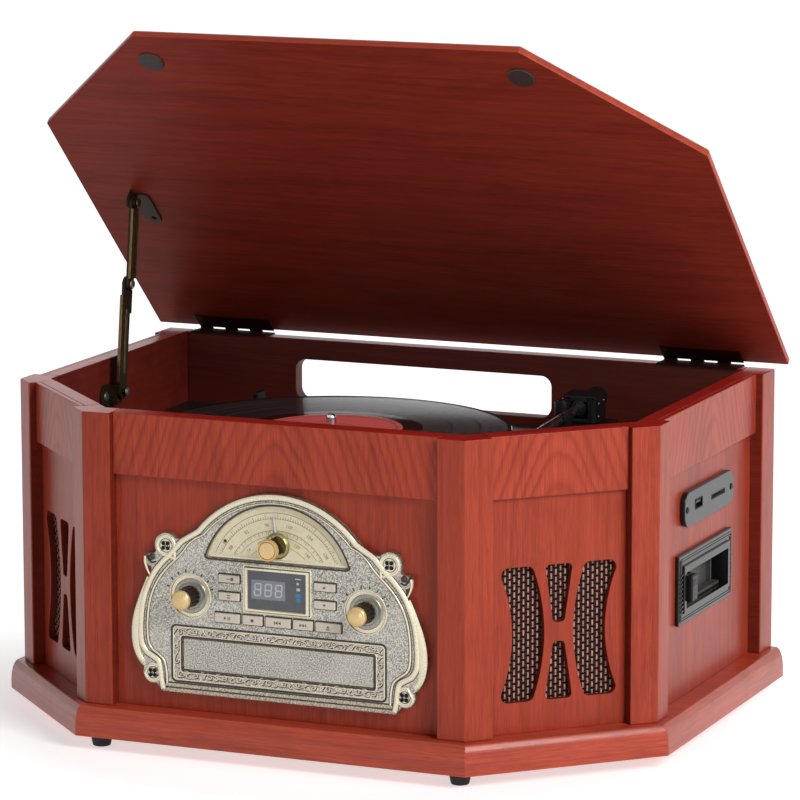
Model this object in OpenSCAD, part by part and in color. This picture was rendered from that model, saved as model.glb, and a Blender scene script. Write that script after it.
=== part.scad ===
// Stereo music centre: a six-sided wooden cabinet that stands on four feet, with a turntable under
// a hinged lid, a pewter control plate with a dial, knobs, buttons and a disc drawer, a speaker
// behind each slanted side, and a media plate and a tape slot on the right side.
// Millimetres. +X is the object's right as its user faces it, -Y is the front, +Z is up.
// The origin is on the floor, under the middle of the cabinet. The lid rests open.
// Heights are written from a base level that lies foot_h - plinth_low above the floor; place_node
// lifts every piece by that much.

/* [Cabinet] */
// Width over the side posts
body_w = 472; // [420:1:560]
// Depth from the front posts to the back panel
body_d = 336; // [300:1:400]
// Height of the walls above the plinth
wall_h = 200; // [190:1:240]
// Length that each slanted side cuts off the width and off the depth
corner_cut = 98; // [80:1:110]
// Width of a post along each of its faces
post_w = 20; // [16:1:26]
// Depth of a rear post along the side
rear_post_w = 26; // [20:1:34]
// Depth from a post's outer face to the wall's inner face
wall_depth = 20; // [18:0.5:24]
// How far the panels lie behind the posts' outer faces
panel_recess = 9; // [7:0.5:10]
// How far the top rails lie behind the posts' outer faces
rail_recess = 5; // [3:0.5:6]
// Height of the top rails
rail_h = 42; // [30:1:44]
// Thickness of the back panel
back_t = 12; // [9:0.5:16]

/* [Plinth and feet] */
// Height of the rubber feet
foot_h = 9.5; // [6:0.5:14]
// Radius of a foot where it meets the plinth
foot_r = 8; // [6:0.5:10]
// Height of the plinth
plinth_h = 21; // [16:1:30]
// How far the plinth stands out past the posts
plinth_out = 9; // [5:0.5:14]
// Width of the plinth's rounded upper edge
plinth_round_w = 5.4; // [3:0.1:8]
// Height of the plinth's rounded upper edge
plinth_round_h = 15; // [3:0.5:16]
// Width of a plinth board, from its outer face inwards
plinth_board = 34; // [30:1:50]
// Thickness of the bottom board
bottom_t = 12; // [9:0.5:15]

/* [Lid] */
// Angle of the lid from level as it rests open
lid_open = 43.4; // [30:0.1:60]
// Thickness of the lid
lid_t = 7; // [6:0.5:12]
// How far the lid stands out past the side posts
lid_out_side = 9; // [6:0.5:14]
// How far the lid stands out past the slanted sides
lid_out_slant = 11.2; // [6:0.5:14]
// How far the lid stands out past the front posts
lid_out_front = 13.5; // [8:0.5:18]
// Gap between the closed lid and the cabinet, which the bumpers and hinge leaves fill
lid_gap = 1.4; // [1.4:0.1:3]
// Radius of a lid bumper
bumper_r = 9.5; // [6:0.5:12]
// Distance of each bumper from the lid's middle
bumper_x = 135; // [100:1:137]

/* [Hinges and stay] */
// Length of each hinge
hinge_len = 60; // [40:1:80]
// Distance of each hinge's middle from the cabinet's middle
hinge_x = 182; // [120:1:185]
// Radius of a hinge knuckle
knuckle_r = 2.4; // [2:0.1:3]
// Radius of a hinge pin
hinge_pin_r = 1.2; // [0.8:0.1:1.4]
// Thickness of a hinge leaf
leaf_t = 0.65; // [0.5:0.05:0.65]
// Width of a hinge leaf
leaf_w = 14; // [10:1:20]
// Distance from the hinge line to the stay's pin on the lid
stay_pin_back = 167.8; // [150:0.1:180]
// Drop of the stay's pin below the lid
stay_pin_drop = 7.9; // [6.5:0.1:10]
// Height of the stay's lower pin below the cabinet's rim
stay_foot_drop = 23.5; // [15:0.5:30]
// Distance of the stay's lower pin behind the cabinet's middle
stay_foot_y = 28.4; // [15:0.1:40]
// Length of the stay's lower arm between its pins
stay_lower_len = 76.8; // [70:0.1:85]
// Width of the stay's lower arm
stay_lower_w = 11; // [9:0.5:12]
// Width of the stay's upper arm
stay_upper_w = 9; // [7:0.5:11]
// Thickness of a stay arm
stay_t = 2.2; // [1.5:0.1:2.5]
// Radius of the stay's pins
stay_pin_r = 2; // [1.5:0.1:2.4]

/* [Turntable] */
// Place of the spindle across the cabinet
deck_x = -28; // [-40:1:-20]
// Place of the spindle from front to back
deck_y = -6; // [-15:1:5]
// Depth of the deck's surface below the cabinet's rim
deck_drop = 52; // [48:1:60]
// Thickness of the deck board
deck_t = 12; // [9:0.5:15]
// Radius of the record
record_r = 125; // [87.5, 125]
// Thickness of the record
record_t = 2; // [1.5:0.1:2.5]
// Radius of the record's label
label_r = 50; // [40:1:52]
// Radius of the spindle
spindle_r = 3.57; // [3.5:0.01:3.6]
// Radius of the platter
platter_r = 100; // [90:1:120]
// Height of the platter from its hub's foot to its top
platter_h = 16.6; // [15:0.1:20]
// Thickness of the platter's mat
mat_t = 2; // [1:0.5:3]
// Radius of the ring that the belt drives
drive_ring_r = 70; // [55:1:74]
// Radius of the motor's pulley
pulley_r = 5.5; // [4:0.5:8]
// Place of the tonearm's pivot across the cabinet
arm_x = 118; // [112:1:130]
// Place of the tonearm's pivot from front to back
arm_y = 100; // [90:1:105]
// Length of the tonearm from its pivot to the needle
arm_len = 195; // [190:1:205]
// Angle by which the parked tonearm points away from the record
arm_park = 4.9; // [0:0.1:8]
// Radius of the tonearm's tube
arm_r = 3.2; // [2.5:0.1:4]

/* [Control plate] */
// Place of the control plate's middle across the front
plate_x = 2.2; // [-4:0.1:4]
// Thickness of the control plate
plate_t = 4.5; // [3.5:0.1:6]
// Radius of the half-round dial window
dial_r = 54; // [50:1:56]
// Height of the dial arc's centre above the base level
dial_z = 117; // [112:1:120]
// Height of the window's straight lower edge above the base level
dial_low_z = 133; // [132:0.5:135]
// Height of the tuning knob's centre above the base level
tuning_z = 144.5; // [142:0.5:146]
// Length of the dial's pointer
pointer_len = 20; // [16:0.5:24]
// Angle by which the pointer leans left as it rests
pointer_lean = 8; // [0:1:20]
// Radius of a knob at its root
knob_r = 7.6; // [6:0.1:8.5]
// Length of a knob
knob_len = 17; // [12:0.5:18]
// Distance of the two lower knobs from the plate's middle
knob_x = 63.6; // [60:0.1:66]
// Height of the two lower knobs above the base level
knob_z = 105.5; // [102:0.5:108]
// Radius of a knob's shaft
shaft_r = 3; // [2.5:0.1:3.5]
// How far a button moves when it is pressed
button_travel = 0.8; // [0.5:0.1:1]
// Width of the display's frame
display_w = 46.4; // [40:0.1:48]
// Height of the display's frame
display_h = 29.3; // [24:0.1:30]

/* [Disc drawer] */
// Width of the drawer's front
drawer_w = 138; // [134:1:144]
// Height of the drawer's front
drawer_h = 21; // [18:0.5:24]
// Height of the drawer's middle above the base level
drawer_z = 65.6; // [62:0.1:68]
// How far the drawer slides out
drawer_travel = 125; // [100:1:130]
// Length of the drawer's tray
tray_len = 150; // [145:1:160]

/* [Right side] */
// Length of the media plate
media_w = 101; // [90:1:110]
// Height of the media plate
media_h = 24; // [20:0.5:28]
// Height of the media plate's middle above the base level
media_z = 155.6; // [150:0.1:165]
// Distance of the media plate's middle behind the cabinet's middle
media_y = 45; // [40:1:50]
// Length of the tape slot's frame
tape_w = 109; // [105:1:115]
// Height of the tape slot's frame
tape_h = 48; // [44:1:50]
// Height of the tape slot's middle above the base level
tape_z = 102; // [98:0.5:108]
// Distance of the tape slot's middle behind the cabinet's middle
tape_y = 41; // [38:1:45]
// How far the tape key moves when it is pressed
key_travel = 4; // [2:0.5:5]

/* [Speakers] */
// Radius of a speaker's flange
speaker_r = 44; // [36:1:44]
// Height of the speaker's middle above the base level
speaker_z = 92; // [88:0.5:96]
// Height of the group of sound slots
slots_h = 90.5; // [80:0.5:94]
// Wood left in front of the speaker cloth
baffle_t = 5; // [4:0.5:7]

/* [Hidden] */
$fn = 64;
// Gap round a piece that only has to pass freely
loose = 0.3;
// Radial gap of a shaft or pin that turns in its hole
running = 0.05;

// Heights
// Height of the plinth's underside above the base level
plinth_low = 5;
plinth_top = plinth_low + plinth_h;
rim_z = plinth_top + wall_h;
// Half sizes and lengths of the six walls
half_w = body_w / 2;
half_d = body_d / 2;
front_half = half_w - corner_cut;
side_front_y = -half_d + corner_cut;
side_mid_y = (half_d + side_front_y) / 2;
slant_len = corner_cut * sqrt(2);
panel_t = wall_depth - panel_recess;

// Lid: its place is worked out closed, then turned open about the hinge line
hinge_y = half_d + knuckle_r + 0.2;
hinge_z = rim_z + leaf_t + 0.15 - knuckle_r;
lid_z = rim_z + lid_gap;
lid_back_y = half_d - 0.5;

// Stay: the closed place of its lid pin, the same when open, and its lower pin, as [y, z]
function opened(p) = [
    hinge_y + (p[0] - hinge_y) * cos(lid_open) + (p[1] - hinge_z) * sin(lid_open),
    hinge_z - (p[0] - hinge_y) * sin(lid_open) + (p[1] - hinge_z) * cos(lid_open)];
stay_top_closed = [hinge_y - stay_pin_back, lid_z - stay_pin_drop];
stay_top = opened(stay_top_closed);
stay_foot = [stay_foot_y, rim_z - stay_foot_drop];
stay_span = norm(stay_top - stay_foot);
stay_upper_len = stay_span - stay_lower_len;
// Angle of the straight stay, from +Y towards +Z
stay_angle = atan2(stay_top[1] - stay_foot[1], stay_top[0] - stay_foot[0]);
stay_wall_x = -half_w + wall_depth;
// Planes of the stay's flat pieces, counted inwards from the left wall
stay_tab_x = stay_wall_x + 6;
stay_lower_x = stay_tab_x + stay_t + loose;
stay_upper_x = stay_lower_x + stay_t + loose;
rivet_t = 1.1;

// Turntable heights, from the deck up
deck_z = rim_z - deck_drop;
platter_z = deck_z + 0.4;
platter_top = platter_z + platter_h;
platter_disc_t = 4;
mat_top = platter_top + mat_t;
record_top = mat_top + record_t;
spindle_top = record_top + 10;
belt_t = 1;
belt_w = 5;
belt_z = deck_z + 6;
motor_angle = 135;
motor_reach = drive_ring_r + 15;
motor_x = deck_x + motor_reach * cos(motor_angle);
motor_y = deck_y + motor_reach * sin(motor_angle);
motor_h = 26;
motor_r = 19;
// Tonearm heights
arm_base_top = record_top - 3;
arm_z = record_top + 8;
arm_tube_len = arm_len - 22;

// Control plate planes, front to back
panel_face_y = -half_d + panel_recess;
panel_back_y = -half_d + wall_depth;
plate_face_y = panel_face_y - plate_t;
lip_t = 2;
scale_t = plate_t - lip_t - 0.2;
scale_face_y = panel_face_y - scale_t;
board_y = panel_back_y + 12;
board_t = 1.6;
pot_len = 10;
dish_depth = 1.2;
dish_r = 14.5;
knob_tip_r = knob_r - 1;
cap_dome = 1;

// The nine buttons: [x from the plate's middle, height, width, cap height]
column_x = 34.7;
row_z = 93;
BUTTONS = [
    [-column_x, 119.8, 15, 5.2], [-column_x, 107.8, 15, 5.2],
    [column_x, 119.8, 15, 5.2], [column_x, 107.8, 15, 5.2],
    [-36, row_z, 18, 6.2], [-17.6, row_z, 14, 6.2], [1, row_z, 18, 6.2],
    [19, row_z, 14, 6.2], [37.3, row_z, 18, 6.2]];
button_out = 1.6;
stem_r = 1.5;

// Colours, as the photograph shows them
wood = [0.66, 0.24, 0.18];
wood_dark = [0.42, 0.14, 0.1];
pewter = [0.76, 0.72, 0.62];
bronze = [0.25, 0.2, 0.15];
gold = [0.84, 0.72, 0.5];
steel = [0.75, 0.76, 0.78];
gunmetal = [0.42, 0.41, 0.4];
black = [0.06, 0.06, 0.07];
vinyl = [0.09, 0.09, 0.1];

// ---- Shared geometry ----

// Corners of the six-sided outline, grown by its own amount on the sides, slants and front.
// The back edge stays at back_y.
function outline(side, slant, front, back_y) =
    let (w = half_w + side, f = half_d + front,
         reach = half_w + half_d - corner_cut + slant * sqrt(2))
    [[w, back_y], [-w, back_y], [-w, w - reach], [f - reach, -f], [reach - f, -f], [w, w - reach]];

// Corner of two wall faces set in by depth d from the outline's corner c
function inner_corner(c, n1, n2, d) = c + d * (n1 + n2) / (1 + n1 * n2);

// Points of a round stretch, from angle a to angle b
function arc(c, r, a, b, steps = 8) =
    [for (i = [0 : steps]) c + r * [cos(a + (b - a) * i / steps), sin(a + (b - a) * i / steps)]];

// Frames of the walls: the origin is in the middle of the posts' outer face, -Y points outwards
module at_front() translate([0, -half_d, 0]) children();
module at_slant() translate([half_w - corner_cut / 2, -half_d + corner_cut / 2, 0])
    rotate([0, 0, 45]) children();
module at_side() translate([half_w, side_mid_y, 0]) rotate([0, 0, 90]) children();
module both_sides() {
    children();
    mirror([1, 0, 0]) children();
}

// A flat shape in the plane of the front, drawn as x and height, from face y0 to y1
module upright(y0, y1) translate([0, y1, 0]) rotate([90, 0, 0]) linear_extrude(y1 - y0) children();

// A rod along Y from y0 to y1 at [x, z]
module rod_y(x, z, r, y0, y1) translate([x, y1, z]) rotate([90, 0, 0]) cylinder(r = r, h = y1 - y0);

// A rod along X from x0 to x1 at [y, z]
module rod_x(p, r, x0, x1) translate([x0, p[0], p[1]]) rotate([0, 90, 0]) cylinder(r = r, h = x1 - x0);

// A rectangle with round corners, centred
module rounded_rect(w, h, r) {
    square([w - 2 * r, h], center = true);
    square([w, h - 2 * r], center = true);
    for (x = [-1, 1], y = [-1, 1]) translate([x * (w / 2 - r), y * (h / 2 - r)]) circle(r);
}

// The lid and what is fixed to it, turned from closed to its rest
module lid_frame() translate([0, hinge_y, hinge_z]) rotate([-lid_open, 0, 0])
    translate([0, -hinge_y, -hinge_z]) children();

// ---- Cabinet ----

// One length of plinth moulding, between the mitres at corners a and b of the outline
module moulding(k, o) {
    round_steps = [for (a = [0 : 18 : 90]) a];
    function ring(d) = outline(d, d, d, half_d);
    inside = outline(plinth_out - plinth_board, plinth_out - plinth_board,
                     plinth_out - plinth_board, half_d - plinth_board + 2);
    module slice(d, h) linear_extrude(h)
        polygon([ring(d)[k], ring(d)[(k + 1) % 6], inside[(k + 1) % 6], inside[k]]);
    translate([0, 0, plinth_low]) slice(plinth_out, plinth_h - plinth_round_h);
    for (i = [0 : len(round_steps) - 2]) {
        d0 = plinth_out - plinth_round_w * (1 - cos(round_steps[i]));
        d1 = plinth_out - plinth_round_w * (1 - cos(round_steps[i + 1]));
        z0 = plinth_top - plinth_round_h * (1 - sin(round_steps[i]));
        z1 = plinth_top - plinth_round_h * (1 - sin(round_steps[i + 1]));
        hull() {
            translate([0, 0, z0 - 0.01]) slice(d0, 0.01);
            translate([0, 0, z1 - 0.01]) slice(d1, 0.01);
        }
    }
}

module plinth() {
    color(wood) for (k = [0 : 5]) moulding(k);
}

module bottom_board() {
    d = plinth_out - plinth_board;
    color(wood_dark) translate([0, 0, plinth_top - bottom_t]) linear_extrude(bottom_t)
        polygon(outline(d, d, d, half_d - plinth_board + 2));
}

// Tapered feet at the front corners and near the rear corners
module rubber_feet() {
    rear_x = half_w - 30;
    rear_y = half_d - 24;
    color(black) both_sides()
        for (p = [[front_half - 7, -half_d + 9], [rear_x, rear_y]])
            translate([p[0], p[1], plinth_low - foot_h]) cylinder(r1 = foot_r - 2, r2 = foot_r, h = foot_h);
}

// Two posts at each slant's ends and one at each rear corner
module corner_posts() {
    c_front = [front_half, -half_d];
    c_side = [half_w, side_front_y];
    along = [1, 1] / sqrt(2);
    inward = [-1, 1] / sqrt(2);
    color(wood) both_sides() translate([0, 0, plinth_top]) linear_extrude(wall_h) {
        polygon([c_front, c_front + [-post_w, 0], c_front + [-post_w, wall_depth],
                 inner_corner(c_front, [0, 1], inward, wall_depth),
                 c_front + along * post_w + inward * wall_depth, c_front + along * post_w]);
        polygon([c_side, c_side - along * post_w, c_side - along * post_w + inward * wall_depth,
                 inner_corner(c_side, inward, [-1, 0], wall_depth),
                 c_side + [-wall_depth, post_w], c_side + [0, post_w]]);
        translate([half_w - wall_depth, half_d - rear_post_w]) square([wall_depth, rear_post_w]);
    }
}

// Board between two posts, from u0 to u1 along its wall
module wall_board(u0, u1, recess, t, z0, h)
    translate([u0, recess, z0]) cube([u1 - u0, t, h]);

module front_panel() {
    half = front_half - post_w;
    color(wood) difference() {
        at_front() wall_board(-half, half, panel_recess, panel_t, plinth_top, wall_h);
        for (x = [-knob_x, knob_x])
            rod_y(plate_x + x, knob_z, shaft_r + 3, panel_face_y - 1, panel_back_y + 1);
        rod_y(plate_x, tuning_z, shaft_r + 3, panel_face_y - 1, panel_back_y + 1);
        for (b = BUTTONS) rod_y(plate_x + b[0], b[1], stem_r + 0.5, panel_face_y - 1, panel_back_y + 1);
        translate([plate_x, 0, 114]) upright(panel_face_y - 1, panel_back_y + 1)
            square([display_w + 2 * loose, display_h + 2 * loose], center = true);
        translate([plate_x, 0, drawer_z]) upright(panel_face_y - 1, panel_back_y + 1)
            square([drawer_w + 2 * loose, drawer_h + 2 * loose], center = true);
    }
}

// The sound slots of one speaker: a bowed slot on each side and two wedges between them
module sound_slots() {
    bow_r = 124;
    band = 22.7;
    end_r = 3;
    corner_r = 5;
    slot_x = 10.5;
    module band() intersection() {
        translate([-slot_x - bow_r, 0]) difference() {
            circle(bow_r, $fn = 240);
            circle(bow_r - band, $fn = 240);
        }
        square([200, slots_h], center = true);
    }
    module wedge() polygon([[-9.8, slots_h / 2], [9.8, slots_h / 2], [4, 6.5], [-4, 6.5]]);
    both_flat() offset(corner_r) offset(delta = -corner_r) band();
    for (turn = [0, 180]) rotate(turn) offset(end_r) offset(delta = -end_r) wedge();
}
module both_flat() {
    children();
    mirror([1, 0]) children();
}

module speaker_panel() {
    half = slant_len / 2 - post_w;
    pocket_r = speaker_r + 2;
    difference() {
        wall_board(-half, half, panel_recess, panel_t, plinth_top, wall_h);
        translate([1.3, 0, speaker_z]) upright(panel_recess - 1, wall_depth + 1) sound_slots();
        translate([1.3, 0, speaker_z]) upright(panel_recess + baffle_t, wall_depth + 1)
            square([2 * pocket_r, 2 * pocket_r + 4], center = true);
    }
}
module speaker_panels() color(wood) both_sides() at_slant() speaker_panel();

side_front_u = side_front_y + post_w - side_mid_y;
side_rear_u = half_d - rear_post_w - side_mid_y;
module side_board() wall_board(side_front_u, side_rear_u, panel_recess, panel_t, plinth_top, wall_h);

module side_panel_left() color(wood) mirror([1, 0, 0]) at_side() side_board();

// Clear opening of the tape slot, and the pocket behind the media plate's sockets
tape_open_w = 86;
tape_open_h = 25;
media_pocket_w = 74;
media_pocket_h = 14;
module side_panel_right() {
    color(wood) at_side() difference() {
        side_board();
        translate([tape_y - side_mid_y, 0, tape_z - 1]) upright(panel_recess - 1, wall_depth + 1)
            square([tape_open_w + 4, tape_open_h + 4], center = true);
        translate([media_y - side_mid_y, 0, media_z]) upright(panel_recess - 1, panel_recess + 8)
            square([media_pocket_w, media_pocket_h], center = true);
    }
}

// Through window behind the record
window_w = 200;
window_top = rim_z - 15;
window_low = deck_z + 7;
module back_panel() {
    w = body_w - 2 * wall_depth;
    color(wood_dark) difference() {
        translate([-w / 2, half_d - back_t, plinth_top]) cube([w, back_t, wall_h]);
        translate([deck_x, 0, (window_top + window_low) / 2]) upright(half_d - back_t - 1, half_d + 1)
            rounded_rect(window_w, window_top - window_low, 8);
    }
}

// A rail on top of each wall panel
module top_rails() {
    t = panel_recess - rail_recess;
    z = rim_z - rail_h;
    half = front_half - post_w;
    slant_half = slant_len / 2 - post_w;
    color(wood) {
        at_front() wall_board(-half, half, rail_recess, t, z, rail_h);
        both_sides() {
            at_slant() wall_board(-slant_half, slant_half, rail_recess, t, z, rail_h);
            at_side() wall_board(side_front_u, side_rear_u, rail_recess, t, z, rail_h);
        }
    }
}

// ---- Speakers ----

cloth_t = 0.8;
module speaker_cloths() {
    r = speaker_r + 1.5;
    color([0.5, 0.38, 0.33]) both_sides() at_slant() translate([1.3, 0, speaker_z])
        upright(panel_recess + baffle_t, panel_recess + baffle_t + cloth_t)
            square([2 * r, 2 * r + 3], center = true);
}

// Turns a profile of [radius, depth behind the cloth] about the speaker's axis
module speaker_turned(points) at_slant()
    translate([1.3, panel_recess + baffle_t + cloth_t, speaker_z])
        rotate([-90, 0, 0]) rotate_extrude() polygon(points);

// A pressed basket with its magnet, and a paper cone with a dust cap, on each side
module speaker_drivers() {
    s = speaker_r;
    color(steel) both_sides() speaker_turned([
        [s - 5, 0], [s, 0], [s, 2], [s - 2, 2], [24, 18], [27, 18], [27, 32], [0, 32],
        [0, 17], [20, 17], [s - 5, 4]]);
    color(vinyl) both_sides() speaker_turned([
        [0, 7], [11, 9], [s - 8, 1.5], [s - 5, 1], [s - 5, 2], [s - 8, 2.5], [11, 10.5],
        [10, 16.7], [9, 16.7], [10, 10], [0, 8]]);
}

// ---- Turntable ----

module deck_board() {
    d = -wall_depth;
    color(wood_dark) difference() {
        translate([0, 0, deck_z - deck_t]) linear_extrude(deck_t)
            polygon(outline(d, d, d, half_d - back_t));
        translate([deck_x, deck_y, deck_z - deck_t - 1]) cylinder(r = spindle_r + running, h = deck_t + 2);
        translate([motor_x, motor_y, deck_z - deck_t - 1]) cylinder(r = pulley_r + 1, h = deck_t + 2);
        translate([speed_x, speed_y, deck_z - deck_t - 1]) cylinder(r = speed_pin_r + running, h = deck_t + 2);
    }
}

module at_spindle() translate([deck_x, deck_y, 0]) children();

module platter() {
    top = platter_top;
    under = top - platter_disc_t;
    color(steel) at_spindle() rotate_extrude() polygon([
        [spindle_r, platter_z], [12, platter_z], [12, under], [drive_ring_r - 4, under],
        [drive_ring_r - 4, platter_z + 3], [drive_ring_r, platter_z + 3], [drive_ring_r, under],
        [platter_r - 3, under], [platter_r - 3, platter_z + 5], [platter_r, platter_z + 5],
        [platter_r, top - 1], [platter_r - 1, top], [spindle_r, top]]);
}

module platter_mat() {
    color(black) at_spindle() translate([0, 0, platter_top]) difference() {
        cylinder(r = platter_r - 2, h = mat_t);
        translate([0, 0, -1]) cylinder(r = spindle_r, h = mat_t + 2);
    }
}

// Turns with the platter, in the deck board's bearing hole
module spindle() {
    foot = deck_z - deck_t - 2;
    color(steel) at_spindle() rotate_extrude() polygon([
        [0, foot], [spindle_r, foot], [spindle_r, spindle_top - 3], [spindle_r - 1.2, spindle_top - 0.8],
        [0, spindle_top]]);
}

// A ten-inch record: raised label and rim, groove band a little lower
module record() {
    hole = spindle_r + running;
    low = mat_top;
    top = record_top;
    color(vinyl) at_spindle() rotate_extrude() polygon([
        [hole, low], [record_r - 0.6, low], [record_r, low + 0.6], [record_r, top - 0.6],
        [record_r - 1, top], [record_r - 4, top - 0.3], [label_r + 3, top - 0.3], [label_r + 1, top],
        [hole, top]]);
}

module turntable_motor() {
    z = deck_z - deck_t - motor_h;
    color(steel) translate([motor_x, motor_y, z]) difference() {
        union() {
            cylinder(r = motor_r, h = motor_h - 2);
            translate([0, 0, motor_h - 2]) cylinder(r = motor_r + 4, h = 2);
        }
        translate([0, 0, motor_h - 12]) cylinder(r = 1.5 + running, h = 13);
    }
}

module motor_pulley() {
    color(gold) translate([motor_x, motor_y, 0]) {
        translate([0, 0, deck_z - deck_t - 10]) cylinder(r = 1.5, h = deck_t + 10 + 4);
        translate([0, 0, belt_z - 2]) cylinder(r = pulley_r, h = belt_w + 3);
    }
}

// The belt's loop stays still, a hair off the ring and the pulley that it would drive
module drive_belt() {
    module loop(extra) hull() {
        translate([deck_x, deck_y]) circle(drive_ring_r + extra, $fn = 120);
        translate([motor_x, motor_y]) circle(pulley_r + extra, $fn = 48);
    }
    color(black) translate([0, 0, belt_z]) linear_extrude(belt_w) difference() {
        loop(loose + belt_t);
        loop(loose);
    }
}

module at_arm() translate([arm_x, arm_y, 0]) rotate([0, 0, arm_park]) children();

arm_pin_r = 4;
module tonearm_base() {
    color(black) difference() {
        translate([arm_x, arm_y - 8, deck_z]) linear_extrude(arm_base_top - deck_z)
            rounded_rect(44, 50, 6);
        translate([arm_x, arm_y, arm_base_top - 12]) cylinder(r = arm_pin_r + running, h = 13);
    }
}

// A turret that turns on the base and holds the arm's cross pin
turret_w = 26;
turret_gap = 12;
cross_pin_r = 1.5;
module tonearm_pivot() {
    low = arm_base_top + loose;
    color(black) at_arm() {
        difference() {
            translate([0, 2, low]) linear_extrude(arm_z + 8 - low) rounded_rect(turret_w, 28, 5);
            translate([-turret_gap / 2, -20, low + 3]) cube([turret_gap, 40, 40]);
        }
        translate([0, 0, arm_base_top - 11]) cylinder(r = arm_pin_r, h = 12);
        translate([0, 0, arm_z]) rod_x([0, 0], cross_pin_r, -turret_gap / 2 - 1, turret_gap / 2 + 1);
    }
}

module tonearm() {
    hub_w = turret_gap - 2 * loose;
    color(steel) at_arm() translate([0, 0, arm_z]) difference() {
        union() {
            rod_x([0, 0], 4.4, -hub_w / 2, hub_w / 2);
            rod_y(0, 0, arm_r, -arm_tube_len, 20);
            rod_y(0, 0, 7.6, 20, 36);
        }
        rod_x([0, 0], cross_pin_r + running, -hub_w, hub_w);
    }
}

// A tapered shell with the cartridge under it and the needle in front
module headshell() {
    tip_drop = arm_z - record_top - loose;
    color(black) at_arm() translate([0, 0, arm_z]) difference() {
        union() {
            translate([0, 0, -4]) linear_extrude(8) polygon([
                [-5, -arm_tube_len + 10], [-8.5, -arm_len + 4], [-7, -arm_len - 10],
                [7, -arm_len - 10], [8.5, -arm_len + 4], [5, -arm_tube_len + 10]]);
            translate([-6, -arm_len - 5, -6]) cube([12, 20, 3]);
            translate([0, -arm_len, -tip_drop]) cylinder(r1 = 0.4, r2 = 1.5, h = tip_drop - 5);
        }
        rod_y(0, 0, arm_r, -arm_tube_len, -arm_tube_len + 20);
    }
}

// A post with a shelf under the parked arm and a horn on its far side
rest_reach = 58;
module arm_rest() {
    shelf = arm_z - arm_r - loose;
    color(black) at_arm() translate([0, -rest_reach, 0]) {
        translate([0, 0, deck_z]) cylinder(r = 5, h = shelf - 3 - deck_z);
        translate([-6, -3, shelf - 3]) cube([14, 6, 3]);
        translate([arm_r + loose, -3, shelf]) cube([8 - arm_r - loose, 6, 9]);
    }
}

speed_x = -140;
speed_y = 118;
speed_pin_r = 2.5;
module speed_lever() {
    color(black) translate([speed_x, speed_y, 0]) {
        translate([0, 0, deck_z - deck_t]) cylinder(r = speed_pin_r, h = deck_t + 1);
        translate([0, 0, deck_z + loose]) cylinder(r = 7, h = 4);
        translate([-2, -7, deck_z + loose]) cube([4, 14, 18]);
    }
}

// ---- Control plate ----

// The plate's outline as [x from its middle, height]: a dome over a wider body whose sides
// swell towards the foot, with a round ear at each corner and a small curl under the upper ears
module plate_shape() {
    base_z = 38.6;
    dome_r = 75.4;
    swell = arc([27, 72], 80, 0, 35);
    side = concat([[85, base_z], [97, 53]], arc([83, 72], 24, -40, 0, 4), swell, [[92, 131], [78, 144]]);
    intersection() {
        translate([0, 103.8]) circle(dome_r, $fn = 120);
        translate([-90, 125]) square([180, 80]);
    }
    polygon(concat(side, [for (i = [len(side) - 1 : -1 : 0]) [-side[i][0], side[i][1]]]));
    both_flat() {
        translate([81, 138.6]) circle(8.6);
        translate([92, 128]) circle(4.6);
        translate([91.5, 50.9]) circle(7.5);
    }
}

module half_moon(r, low) intersection() {
    translate([0, dial_z]) circle(r, $fn = 120);
    translate([-r, low]) square([2 * r, 2 * r]);
}

module escutcheon() {
    y0 = plate_face_y;
    y1 = panel_face_y;
    gap = 0.25;
    color(pewter) translate([plate_x, 0, 0]) difference() {
        upright(y0, y1) plate_shape();
        upright(y0 - 1, y1 + 1) half_moon(dial_r, dial_low_z);
        upright(y0 + lip_t, y1 + 1) half_moon(dial_r + 2, dial_low_z - 2);
        for (x = [-knob_x, knob_x]) {
            rod_y(x, knob_z, dish_r, y0 - 1, y0 + dish_depth);
            rod_y(x, knob_z, shaft_r + 1, y0 - 1, y1 + 1);
        }
        for (b = BUTTONS) translate([b[0], 0, b[1]]) upright(y0 - 1, y1 + 1)
            square([b[2] + 2 * gap, b[3] + 2 * gap], center = true);
        translate([0, 0, 114]) upright(y0 - 1, y1 + 1)
            square([display_w + 2 * gap, display_h + 2 * gap], center = true);
        translate([0, 0, drawer_z]) upright(y0 - 1, y1 + 1)
            square([drawer_w + 2 * loose, drawer_h + 2 * loose], center = true);
        for (p = SCREW_EARS) rod_y(p[0], p[1], 1.6, y0 - 1, y1 + 1);
    }
}
SCREW_EARS = [[-81, 138.6], [81, 138.6], [-91.5, 50.9], [91.5, 50.9]];

module dial_scale() {
    color([0.84, 0.8, 0.62]) translate([plate_x, 0, 0]) difference() {
        upright(scale_face_y, panel_face_y) half_moon(dial_r + 1.8, dial_low_z - 1.8);
        rod_y(0, tuning_z, shaft_r + 0.5, scale_face_y - 1, panel_face_y + 1);
    }
}

pointer_t = 0.7;
pointer_y = scale_face_y - 0.4 - pointer_t;
module dial_pointer() {
    color(steel) translate([plate_x, 0, tuning_z]) difference() {
        upright(pointer_y, pointer_y + pointer_t) rotate(pointer_lean) {
            circle(4.5);
            polygon([[-1.1, 0], [1.1, 0], [0.5, pointer_len], [-0.5, pointer_len]]);
        }
        rod_y(0, 0, shaft_r, pointer_y - 1, pointer_y + 2);
    }
}

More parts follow.
